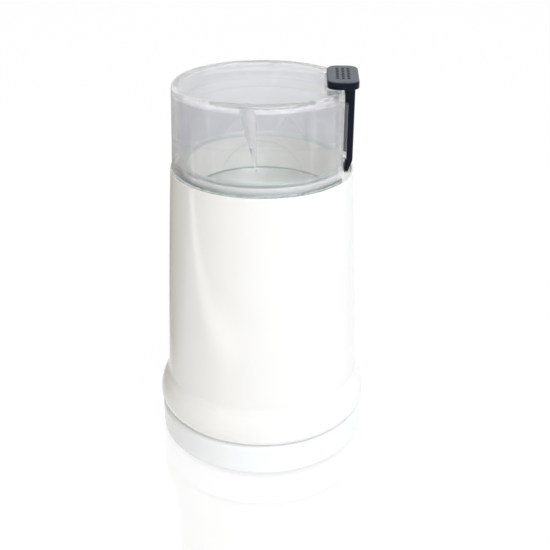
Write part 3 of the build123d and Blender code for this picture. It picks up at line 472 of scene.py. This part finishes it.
def add_lamp(name, place, aim_height, size, watts, colour):
    """A rectangular softbox that points at the spindle's axis."""
    data = bpy.data.lights.new(name, "AREA")
    data.shape = "RECTANGLE"
    data.size, data.size_y = size
    data.energy = watts
    data.color = linear(colour)[:3]
    lamp = bpy.data.objects.new(name, data)
    lamp.location = place
    aim = Vector((0, 0, aim_height)) - Vector(place)
    lamp.rotation_euler = aim.to_track_quat("-Z", "Y").to_euler()
    bpy.context.scene.collection.objects.link(lamp)


# ---- modelling, by hand in edit mode --------------------------------------------------------
DATUM = 2.9                  # mm; heights below are given from the datum inside the base cover


def pick(*pieces):
    """Makes these pieces the only ones selected, and the first of them active."""
    bpy.ops.object.select_all(action="DESELECT")
    for piece in pieces:
        piece.select_set(True)
    bpy.context.view_layer.objects.active = pieces[0]


def at(x, y, z):
    """A point in metres from millimetres, with its height from the datum."""
    return Vector((x * MM, y * MM, (z + DATUM) * MM))


def apply_place(piece):
    """Moves a piece's place, turn and size into its mesh."""
    pick(piece)
    bpy.ops.object.transform_apply(location=True, rotation=True, scale=True)


def turn_about_spindle(piece, angle):
    """Turns a piece about the upright axis by an angle in degrees."""
    piece.rotation_euler.z = radians(angle)
    apply_place(piece)


def arc(radius, height, reach, start, stop, steps):
    """Points of a rounding in a profile: its centre, radius and angles in degrees from outwards."""
    turns = [radians(start + (stop - start) * step / steps) for step in range(steps + 1)]
    return [(radius + reach * cos(turn), height + reach * sin(turn)) for turn in turns]


def turned(name, profile, sides=160):
    """A circle, extruded and resized ring by ring along a profile of (radius, height) in millimetres."""
    bpy.ops.object.select_all(action="DESELECT")
    radius, height = profile[0]
    bpy.ops.mesh.primitive_circle_add(vertices=sides, radius=radius * MM, location=at(0, 0, height))
    piece = bpy.context.object
    piece.name = name
    apply_place(piece)
    bpy.ops.object.mode_set(mode="EDIT")
    bpy.ops.mesh.select_mode(type="VERT")
    bpy.ops.mesh.select_all(action="SELECT")
    for next_radius, next_height in profile[1:]:
        rise = (0, 0, (next_height - height) * MM)
        bpy.ops.mesh.extrude_region_move(TRANSFORM_OT_translate={"value": rise})
        growth = next_radius / radius
        bpy.ops.transform.resize(value=(growth, growth, 1), center_override=(0, 0, 0))
        radius, height = next_radius, next_height
    close_mesh()
    return piece


def close_mesh():
    """Welds the seams, closes the ends, turns the faces outwards and leaves edit mode."""
    bpy.ops.mesh.select_all(action="SELECT")
    bpy.ops.mesh.remove_doubles(threshold=2e-6)
    bpy.ops.mesh.fill_holes(sides=0)
    bpy.ops.mesh.select_all(action="SELECT")
    bpy.ops.mesh.normals_make_consistent(inside=False)
    bpy.ops.object.mode_set(mode="OBJECT")


def select_edges(piece, wanted):
    """In edit mode, selects the edges whose two ends pass a test on (x, y, z) in millimetres."""
    bpy.ops.object.mode_set(mode="EDIT")
    bpy.ops.mesh.select_mode(type="EDGE")
    bpy.ops.mesh.select_all(action="DESELECT")
    bpy.ops.object.mode_set(mode="OBJECT")
    points = [(v.co.x / MM, v.co.y / MM, v.co.z / MM - DATUM) for v in piece.data.vertices]
    for edge in piece.data.edges:
        edge.select = wanted(points[edge.vertices[0]], points[edge.vertices[1]])
    bpy.ops.object.mode_set(mode="EDIT")


def block(name, low, high):
    """A box between two corners in millimetres."""
    bpy.ops.object.select_all(action="DESELECT")
    centre = at(*((a + b) / 2 for a, b in zip(low, high)))
    size = [(b - a) * MM for a, b in zip(low, high)]
    bpy.ops.mesh.primitive_cube_add(size=1, location=centre, scale=size)
    piece = bpy.context.object
    piece.name = name
    apply_place(piece)
    return piece


def bevel_edges(piece, wanted, width, segments=4):
    """Rounds the edges that pass a test."""
    pick(piece)
    select_edges(piece, wanted)
    bpy.ops.mesh.bevel(offset=width * MM, segments=segments, affect="EDGES")
    bpy.ops.object.mode_set(mode="OBJECT")


def bisect_all(point, normal):
    """Cuts the active piece by a plane, closes it and drops what lies on the normal's side."""
    bpy.ops.object.mode_set(mode="EDIT")
    bpy.ops.mesh.select_all(action="SELECT")
    bpy.ops.mesh.bisect(plane_co=point, plane_no=normal, use_fill=True, clear_outer=True)
    bpy.ops.object.mode_set(mode="OBJECT")


def upright(first, second):
    """True for an edge that stands upright."""
    sideways = abs(first[0] - second[0]) + abs(first[1] - second[1])
    return abs(first[2] - second[2]) > 0.5 and sideways < 0.01


def shape(piece, tool, operation, keep=False):
    """Cuts, adds or intersects another shape, and takes that shape away."""
    pick(piece)
    modifier = piece.modifiers.new("shape", "BOOLEAN")
    modifier.operation = operation
    modifier.solver = "EXACT"
    modifier.object = tool
    bpy.ops.object.modifier_apply(modifier="shape")
    if not keep:
        bpy.data.objects.remove(tool, do_unlink=True)
    return piece


def twin(piece):
    """A copy with its own mesh."""
    copy = piece.copy()
    copy.data = piece.data.copy()
    bpy.context.scene.collection.objects.link(copy)
    return copy


def around(piece, angles):
    """Copies of a piece, turned about the spindle's axis and joined with it."""
    copies = [piece]
    for angle in angles[1:]:
        copy = twin(piece)
        turn_about_spindle(copy, angle - angles[0])
        copies.append(copy)
    pick(*copies)
    bpy.ops.object.join()
    return piece


def on_ring(piece, radius, angles):
    """Moves a piece out from the axis and repeats it at each angle."""
    piece.location.x = radius * MM
    apply_place(piece)
    turn_about_spindle(piece, angles[0])
    around(piece, angles)


def cut_to_triangles(piece):
    """Cuts every face into triangles, so that the next operator meets the same ones on each run."""
    pick(piece)
    piece.modifiers.new("triangles", "TRIANGULATE")
    bpy.ops.object.modifier_apply(modifier="triangles")


def soften(piece, width, angle=40, segments=2):
    """Rounds every edge that is sharper than the angle."""
    pick(piece)
    modifier = piece.modifiers.new("edges", "BEVEL")
    modifier.width = width * MM
    modifier.segments = segments
    modifier.limit_method = "ANGLE"
    modifier.angle_limit = radians(angle)
    modifier.use_clamp_overlap = True
    modifier.miter_outer = "MITER_ARC"
    bpy.ops.object.modifier_apply(modifier="edges")


def done(piece, body, slot, *nodes, smooth=32):
    """Shades a finished piece, gives it its finish, and puts it on its body in place of CAD nodes."""
    pick(piece)
    bpy.ops.object.shade_smooth_by_angle(angle=radians(smooth))
    modifier = piece.modifiers.new("normals", "WEIGHTED_NORMAL")
    modifier.keep_sharp = True
    bpy.ops.object.modifier_apply(modifier="normals")
    piece.data.materials.clear()
    piece.data.materials.append(finishes[slot])
    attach(piece, body)
    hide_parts(*nodes)


# ---- the clear lid --------------------------------------------------------------------------
LID_TOP = 174.1
LID_CEILING = 171.1
RIM_TOP = 134.6
LID_FLAT_X = 36.0
LID_FLAT_IN_X = 33.4         # the inner side of the flat's wall
LID_FLAT_SPARE = 0.6         # the wall starts this far beyond the flat, which is cut afterwards
LID_FLAT_LOW = 140.6         # the wall and the skirt stop here on the key's side
FAR_X = 60                   # beyond the lid
POCKET_X = 27.3
POCKET_HALF = 15.6
POCKET_FLOOR = 169.5
POCKET_WALL = 2.2
POCKET_SEAT_LOW = 167.1
RAIL_X = (35.0, 37.9)
RAIL_Z = (141.5, 166.3)
RAIL_WIDTH = 2.9
RAIL_SIDES = (6.0, -8.9)
FIN_RIGHT_X = 0.2
FIN_ROOT_Y = -37.5
FIN_WIDTH = 9.2
FIN_DEPTH = 4.8
FIN_TIP_Z = 144.4
FIN_TIP_R = 0.35


def lid_outline():
    """The lid's outside, from its foot to the middle of its top."""
    return (
        [(41.45, RIM_TOP), (41.6, RIM_TOP + 0.15), (41.6, RIM_TOP + 0.6)]
        + [(41.45, RIM_TOP + 0.95), (41.15, RIM_TOP + 1.25), (40.96, RIM_TOP + 1.7), (40.9, RIM_TOP + 2.3)]
        + [(40.88, RIM_TOP + 3.0), (40.04, LID_TOP - 3.2)]
        + arc(37.4, LID_TOP - 2.6, 2.6, 0, 90, 9)
        + [(36.6, LID_TOP), (20.0, LID_TOP), (0.6, LID_TOP)]
    )


def lid_hollow():
    """The lid's inside, from the middle of its ceiling to the skirt's lower edge."""
    return (
        [(0.6, LID_CEILING), (20.0, LID_CEILING), (34.4, LID_CEILING)]
        + arc(35.0, LID_CEILING - 2.0, 2.0, 90, 0, 7)
        + [(37.02, LID_CEILING - 2.6), (37.5, RIM_TOP + 0.6), (37.5, RIM_TOP), (37.35, 133.6)]
        + [(37.35, 129.7), (37.65, 129.4), (38.9, 129.4), (39.2, 129.7), (39.2, RIM_TOP)]
    )


def lid_fin():
    """A tapered wedge below the lid's ceiling that throws the spice back onto the blade."""
    radius = FIN_WIDTH / sqrt(3)
    top_z = LID_CEILING + 0.3
    middle = at(FIN_RIGHT_X - FIN_WIDTH / 2, FIN_ROOT_Y + radius / 2, (top_z + FIN_TIP_Z) / 2)
    bpy.ops.object.select_all(action="DESELECT")
    bpy.ops.mesh.primitive_cone_add(
        vertices=3, radius1=FIN_TIP_R * MM, radius2=radius * MM, depth=(top_z - FIN_TIP_Z) * MM,
        location=middle,
    )
    fin = bpy.context.object
    apply_place(fin)
    select_edges(fin, lambda a, b: a[2] > top_z - 1 and b[2] > top_z - 1)
    flatter = FIN_DEPTH / (1.5 * radius)
    bpy.ops.transform.resize(value=(1, flatter, 1), center_override=at(0, FIN_ROOT_Y, 0))
    bpy.ops.object.mode_set(mode="OBJECT")
    select_edges(fin, lambda a, b: a[2] < FIN_TIP_Z + 1 and b[2] < FIN_TIP_Z + 1)
    to_right = (FIN_WIDTH / 2 - FIN_TIP_R) * MM
    bpy.ops.transform.translate(value=(to_right, -radius * 0.55 * MM, 0))
    bpy.ops.object.mode_set(mode="OBJECT")
    return fin


def add_flat_and_pocket(lid, outside):
    """The flat on the key's side, and the pocket that the thumb plate sits in."""
    wall_corner = (LID_FLAT_X + LID_FLAT_SPARE, 25, LID_TOP - 1.0)
    wall = block("flat_wall", (LID_FLAT_IN_X, -25, LID_FLAT_LOW), wall_corner)
    shape(wall, outside, "INTERSECT", keep=True)
    shape(lid, wall, "UNION")
    seat_half = POCKET_HALF + POCKET_WALL
    seat_corner = (POCKET_X - POCKET_WALL, -seat_half, POCKET_SEAT_LOW)
    seat = block("pocket_seat", seat_corner, (FAR_X, seat_half, LID_TOP - 0.4))
    shape(seat, outside, "INTERSECT")
    shape(lid, seat, "UNION")
    shape(lid, block("beyond_flat", (LID_FLAT_X, -30, 133), (FAR_X, 30, 180)), "DIFFERENCE")
    pocket = block("pocket", (POCKET_X, -POCKET_HALF, POCKET_FLOOR), (FAR_X, POCKET_HALF, 180))
    bevel_edges(pocket, upright, 1.6)
    bevel_edges(pocket, lambda a, b: max(a[2], b[2]) < POCKET_FLOOR + 0.5, 0.8)
    shape(lid, pocket, "DIFFERENCE")


def make_lid():
    """The lid: a turned moulding with a flat, a pocket, two rails for the key's stem and two fins."""
    outside = turned("lid_outside", lid_outline())
    lid = turned("clear_lid_moulding", lid_hollow() + lid_outline())
    add_flat_and_pocket(lid, outside)
    for low_y in RAIL_SIDES:
        rail = block("rail", (RAIL_X[0], low_y, RAIL_Z[0]), (RAIL_X[1], low_y + RAIL_WIDTH, RAIL_Z[1]))
        bevel_edges(rail, upright, 0.5, 3)
        shape(lid, rail, "UNION")
    shape(lid, block("skirt_gap", (20, -15, 120), (FAR_X, 15, LID_FLAT_LOW)), "DIFFERENCE")
    for angle in (0, 180):
        fin = lid_fin()
        turn_about_spindle(fin, angle)
        shape(lid, fin, "UNION")
    cut_to_triangles(lid)
    soften(lid, 0.3)
    done(lid, "lid", "clear_styrene", "clear_lid")


# ---- the push key ---------------------------------------------------------------------------
HEAD_X = (28.4, 42.2)
HEAD_HALF = 15.1
HEAD_Z = (174.1, 177.6)
STEM_X = 36.3
STEM_OUT_R = 41.0
STEM_HALF = 5.7
STEM_TIP = 134.9
STEM_STEP = 144.2            # below this the stem is thinner, to pass the bowl's rim
STEM_LEAN = 22               # degrees of the bevel at its tip
SLOT_X = 37.55
GRIP_ROWS = 3
GRIP_DOTS = 7
GRIP_ROW_PITCH = 2.4
GRIP_DOT_PITCH = 2.9


def key_head():
    """The thumb plate: rounded in plan, with a soft edge."""
    head = block("key_head", (HEAD_X[0], -HEAD_HALF, HEAD_Z[0]), (HEAD_X[1], HEAD_HALF, HEAD_Z[1]))
    bevel_edges(head, upright, 4.8, 10)
    bevel_edges(head, lambda a, b: min(a[2], b[2]) > HEAD_Z[1] - 0.1, 0.9, 5)
    bevel_edges(head, lambda a, b: max(a[2], b[2]) < HEAD_Z[0] + 0.1, 0.4, 2)
    return head


def grip_dots():
    """Three rows of small domes that keep the thumb from slipping."""
    dots = []
    middle = (HEAD_X[0] + HEAD_X[1]) / 2
    base = HEAD_Z[1] - 0.3
    profile = [(0.78, base), (0.76, base + 0.38), (0.58, base + 0.5), (0.25, base + 0.55)]
    dome = turned("grip_dot", profile, 14)
    for row in range(GRIP_ROWS):
        for place in range(GRIP_DOTS):
            dot = twin(dome)
            dot.location.x = (middle + (row - (GRIP_ROWS - 1) / 2) * GRIP_ROW_PITCH) * MM
            dot.location.y = (place - (GRIP_DOTS - 1) / 2) * GRIP_DOT_PITCH * MM
            apply_place(dot)
            dots.append(dot)
    bpy.data.objects.remove(dome, do_unlink=True)
    pick(*dots)
    bpy.ops.object.join()
    return dots[0]


def key_stem():
    """The long stem: flat towards the lid, round outside, stepped and bevelled at its tip."""
    top = HEAD_Z[0] + 2
    below = STEM_TIP - 1
    stem = block(
        "key_stem", (STEM_X, -STEM_HALF, STEM_TIP), (STEM_OUT_R + 0.15, STEM_HALF, HEAD_Z[0] + 0.6)
    )
    bevel_edges(stem, lambda a, b: upright(a, b) and a[0] > 39, 1.9, 6)
    round_side = [(0.6, below), (STEM_OUT_R, below), (STEM_OUT_R, top), (0.6, top)]
    shape(stem, turned("round_side", round_side, 240), "INTERSECT")
    shape(stem, block("step", (0, -8, below), (SLOT_X, 8, STEM_STEP)), "DIFFERENCE")
    pick(stem)
    lean = radians(STEM_LEAN)
    bisect_all(at(40.35, 0, 138.6), (cos(lean), 0, -sin(lean)))
    return stem


def key_flare():
    """The neck that widens from the stem into the plate."""
    flare = block("key_flare", (STEM_X, -STEM_HALF, HEAD_Z[0] - 3.3), (40.0, STEM_HALF, HEAD_Z[0] + 0.4))
    pick(flare)
    select_edges(flare, lambda a, b: min(a[2], b[2]) > HEAD_Z[0])
    bpy.ops.transform.resize(value=(1.1, 1.35, 1), center_override=at(STEM_X, 0, 0))
    bpy.ops.object.mode_set(mode="OBJECT")
    return flare


def make_key():
    """The push key: thumb plate, stem, neck and grip dots in one moulding."""
    key = key_head()
    key.name = "thumb_key"
    shape(key, key_stem(), "UNION")
    shape(key, key_flare(), "UNION")
    shape(key, grip_dots(), "UNION")
    soften(key, 0.25, 50)
    done(key, "key", "key_abs", "push_key")


# ---- bowl and blade -------------------------------------------------------------------------
BOWL_R = 34.5
BOWL_RIM = 139.7
BOWL_FLOOR = 117.0
BOWL_CREASE = 121.5          # where the floor meets the wall
SHEET = 0.6
BEAD_R = 0.85
CLAMP_FLANGE = 1.2
BLADE_Z = 119.3
BLADE_THICK = 1.2
BLADE_HALF = 4.4
BLADE_BEND_X = 12.0          # the wing rises from here
BLADE_RISE = 8               # degrees
BLADE_REACH = 16.2           # of the rising part
NUT_TOP = 124.8
THREAD_R = 2.2


def make_bowl():
    """The bowl: a shallow dish with a rounded crease, an upright wall and a rolled bead at its rim."""
    inner = [(5.1, BOWL_FLOOR), (9.0, BOWL_FLOOR), (21.5, BOWL_FLOOR), (22.5, BOWL_FLOOR + 0.12)]
    inner += [(BOWL_R - 2.2, BOWL_CREASE - 1.1)]
    inner += arc(BOWL_R - 1.2, BOWL_CREASE + 0.3, 1.2, -50, 0, 5)
    inner += [(BOWL_R, BOWL_CREASE + 1.0), (BOWL_R, BOWL_RIM - 2.0), (BOWL_R + 0.08, BOWL_RIM - 1.5)]
    bead = arc(BOWL_R + SHEET + 0.6, BOWL_RIM - BEAD_R, BEAD_R, 175, -120, 15)
    outer = [(BOWL_R + SHEET, BOWL_RIM - 2.2), (BOWL_R + SHEET, BOWL_CREASE)]
    outer += [(BOWL_R - 1.0, BOWL_CREASE - 1.4), (22.5, BOWL_FLOOR - SHEET + 0.1)]
    outer += [(21.5, BOWL_FLOOR - SHEET), (5.1, BOWL_FLOOR - SHEET), (5.1, BOWL_FLOOR)]
    bowl = turned("steel_bowl", inner + bead + outer, 192)
    done(bowl, "housing", "bowl_steel", "grinding_bowl")


def make_clamp_bush():
    """The turned bush whose flange holds the bowl down, with four spanner slots."""
    flange_top = BOWL_FLOOR + CLAMP_FLANGE
    profile = [(3.2, 107.0), (4.7, 107.0), (5.0, 107.3), (5.0, BOWL_FLOOR), (8.8, BOWL_FLOOR)]
    profile += arc(8.5, flange_top - 0.5, 0.5, 0, 90, 4)
    profile += [(3.5, flange_top), (3.2, flange_top - 0.3), (3.2, 107.0)]
    bush = turned("clamp_bush", profile, 96)
    for angle in (45, 135):
        slots = block("spanner_slot", (6.4, -0.9, BOWL_FLOOR + 0.5), (10, 0.9, BOWL_FLOOR + 3))
        around(slots, (0, 180))
        turn_about_spindle(slots, angle)
        shape(bush, slots, "DIFFERENCE")
    done(bush, "housing", "brass", "bowl_clamp_bush")


def blade_wing():
    """Half of the blade: flat at the hub, then rising, with a ground leading edge and a clipped tip."""
    top = BLADE_Z + BLADE_THICK
    wing = block("blade_wing", (3.6, -BLADE_HALF, BLADE_Z + 0.01), (BLADE_BEND_X, BLADE_HALF, top - 0.01))
    pick(wing)
    select_edges(wing, lambda a, b: min(a[0], b[0]) > BLADE_BEND_X - 0.1)
    bpy.ops.mesh.select_mode(type="FACE")
    rise = radians(BLADE_RISE)
    lift = (BLADE_REACH * cos(rise) * MM, 0, BLADE_REACH * sin(rise) * MM)
    bpy.ops.mesh.extrude_region_move(TRANSFORM_OT_translate={"value": lift})
    bpy.ops.object.mode_set(mode="OBJECT")
    grind = block("grind", (12.4, 3.1, BLADE_Z - 4), (32, 9, BLADE_Z + 9))
    pick(grind)
    bisect_all(at(12, 3.2, top), (sin(rise) * 0.8, -0.6, -0.8))
    shape(wing, grind, "DIFFERENCE")
    clip = block("clip", (0, -9, BLADE_Z - 2), (8, 0, BLADE_Z + 9))
    clip.location.x = 26.2 * MM
    clip.location.y = -BLADE_HALF * MM
    turn_about_spindle(clip, -45)
    return shape(wing, clip, "DIFFERENCE")


def make_blade():
    """The blade: two wings on a round hub, bored for the spindle's thread."""
    top = BLADE_Z + BLADE_THICK
    blade = turned("twin_blade", [(0.6, BLADE_Z), (6.0, BLADE_Z), (6.0, top), (0.6, top)], 64)
    for angle in (0, 180):
        wing = blade_wing()
        turn_about_spindle(wing, angle)
        shape(blade, wing, "UNION")
    bore = [(0.4, BLADE_Z - 2), (THREAD_R, BLADE_Z - 2), (THREAD_R, top + 2), (0.4, top + 2)]
    shape(blade, turned("bore", bore, 40), "DIFFERENCE")
    soften(blade, 0.1, 50, 1)
    done(blade, "rotor", "blade_steel", "cutting_blade")


def make_blade_nut():
    """A dome nut: a hexagon below a turned crown."""
    low = BLADE_Z + BLADE_THICK
    crown = [(0.6, low), (6.0, low), (6.0, NUT_TOP - 1.9), (4.6, NUT_TOP - 1.1), (3.2, NUT_TOP - 0.35)]
    crown += [(1.6, NUT_TOP - 0.05), (0.4, NUT_TOP)]
    nut = turned("dome_nut", crown, 64)
    bpy.ops.object.select_all(action="DESELECT")
    bpy.ops.mesh.primitive_cylinder_add(
        vertices=6, radius=8.0 / sqrt(3) * MM, depth=12 * MM, location=at(0, 0, (low + NUT_TOP) / 2),
        rotation=(0, 0, pi / 6),
    )
    hexagon = bpy.context.object
    apply_place(hexagon)
    shape(nut, hexagon, "INTERSECT")
    bore = [(0.3, low - 2), (THREAD_R, low - 2), (THREAD_R, NUT_TOP - 0.6), (0.3, NUT_TOP - 0.6)]
    shape(nut, turned("bore", bore, 40), "DIFFERENCE")
    soften(nut, 0.15, 35)
    done(nut, "rotor", "blade_steel", "blade_nut")


def make_slinger():
    """The washer below the blade that keeps ground spice off the spindle."""
    low = BOWL_FLOOR + 1.55
    top = BLADE_Z
    profile = [(3.02, low), (6.9, low), (7.2, low + 0.15), (7.2, top - 0.3), (6.9, top - 0.05), (6.6, top)]
    profile += [(3.02, top), (3.02, low)]
    done(turned("slinger", profile, 96), "rotor", "bowl_steel", "slinger_washer")


# ---- small parts ----------------------------------------------------------------------------
FOOT_RING = 41.0
FOOT_ANGLES = (45, 135, 225, 315)
SCREW_RING = 36.0
SCREW_ANGLES = (30, 150, 270)
SCREW_TURNS = 14
SPRING_X = 37.0
SPRING_LOW = 96.05
SPRING_HIGH = 108.95
SPRING_TURNS = 6
COIL_R = 1.9
WIRE_R = 0.3
INLET_Z = 6.1
INLET_FACE_Y = 48.5


def make_feet():
    """Stick-in rubber feet: a rounded sole with a shallow cup that grips the table."""
    profile = [(0.5, -0.5), (5.0, -0.5), (5.0, -2.3)]
    profile += arc(4.4, -2.3, 0.6, 0, -90, 4)
    profile += [(3.6, -2.9), (3.2, -2.6), (0.5, -2.45)]
    foot = turned("rubber_foot", profile, 48)
    on_ring(foot, FOOT_RING, FOOT_ANGLES)
    done(foot, "housing", "rubber", "rubber_feet")


def make_base_screws():
    """Self-tapping screws: a pan head with a cross recess, and a threaded shank."""
    profile = [(0.3, 7.6), (1.9, 7.62), (2.6, 7.85), (3.0, 8.3), (3.1, 8.9), (3.1, 9.8), (1.2, 9.8)]
    for turn in range(SCREW_TURNS):
        low = 10.4 + turn * 1.0
        profile += [(1.15, low), (1.5, low + 0.35), (1.15, low + 0.7)]
    profile += [(0.9, 24.6), (0.3, 25.0)]
    screw = turned("base_screw", profile, 32)
    for angle in (0, 90):
        recess = block("recess", (-1.8, -0.35, 7.0), (1.8, 0.35, 8.7))
        turn_about_spindle(recess, angle)
        shape(screw, recess, "DIFFERENCE")
    on_ring(screw, SCREW_RING, SCREW_ANGLES)
    done(screw, "housing", "screw_steel", "base_screws")


def make_return_spring():
    """A coil spring wound from round wire."""
    rise = SPRING_HIGH - SPRING_LOW - 2 * WIRE_R
    bpy.ops.object.select_all(action="DESELECT")
    bpy.ops.mesh.primitive_circle_add(
        vertices=10, radius=WIRE_R * MM, location=(COIL_R * MM, 0, 0), rotation=(pi / 2, 0, 0)
    )
    spring = bpy.context.object
    spring.name = "coil_spring"
    apply_place(spring)
    coil = spring.modifiers.new("coil", "SCREW")
    coil.axis = "Z"
    coil.angle = 2 * pi
    coil.iterations = SPRING_TURNS
    coil.screw_offset = rise / SPRING_TURNS * MM
    coil.steps = 28
    coil.render_steps = 28
    bpy.ops.object.modifier_apply(modifier="coil")
    bpy.ops.object.mode_set(mode="EDIT")
    close_mesh()
    spring.location = at(SPRING_X, 0, SPRING_LOW + WIRE_R)
    apply_place(spring)
    done(spring, "housing", "spring_steel", "return_spring", smooth=60)
    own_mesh(spring)


def make_inlet_bush():
    """The cord inlet's rubber bush: a rounded collar outside, a neck in the wall, a snap ring inside."""
    out_top = INLET_FACE_Y + 2
    wall_in = INLET_FACE_Y - 4
    profile = [(3.1, wall_in - 2), (4.5, wall_in - 2), (5.1, wall_in - 0.4), (5.1, wall_in)]
    profile += [(4.25, wall_in), (4.25, INLET_FACE_Y), (5.5, INLET_FACE_Y)]
    profile += arc(4.6, out_top - 0.9, 0.9, 0, 90, 5)
    profile += [(3.7, out_top), (3.1, out_top - 0.6), (3.1, wall_in - 2)]
    bush = turned("inlet_bush", [(radius, height - DATUM) for radius, height in profile], 64)
    bush.rotation_euler.x = -pi / 2
    bush.location.z = (INLET_Z + DATUM) * MM
    apply_place(bush)
    done(bush, "housing", "rubber", "cord_inlet_bush")


# ---- putting it together --------------------------------------------------------------------
bpy.ops.object.select_all(action="DESELECT")
bpy.context.scene.view_settings.view_transform = "Standard"
add_camera()
add_world()
add_floor()
for lamp in LAMPS:
    add_lamp(*lamp)
finishes = make_finishes()
finish_nodes(finishes)
make_lid()
make_key()
make_bowl()
make_clamp_bush()
make_blade()
make_blade_nut()
make_slinger()
make_feet()
make_base_screws()
make_return_spring()
make_inlet_bush()
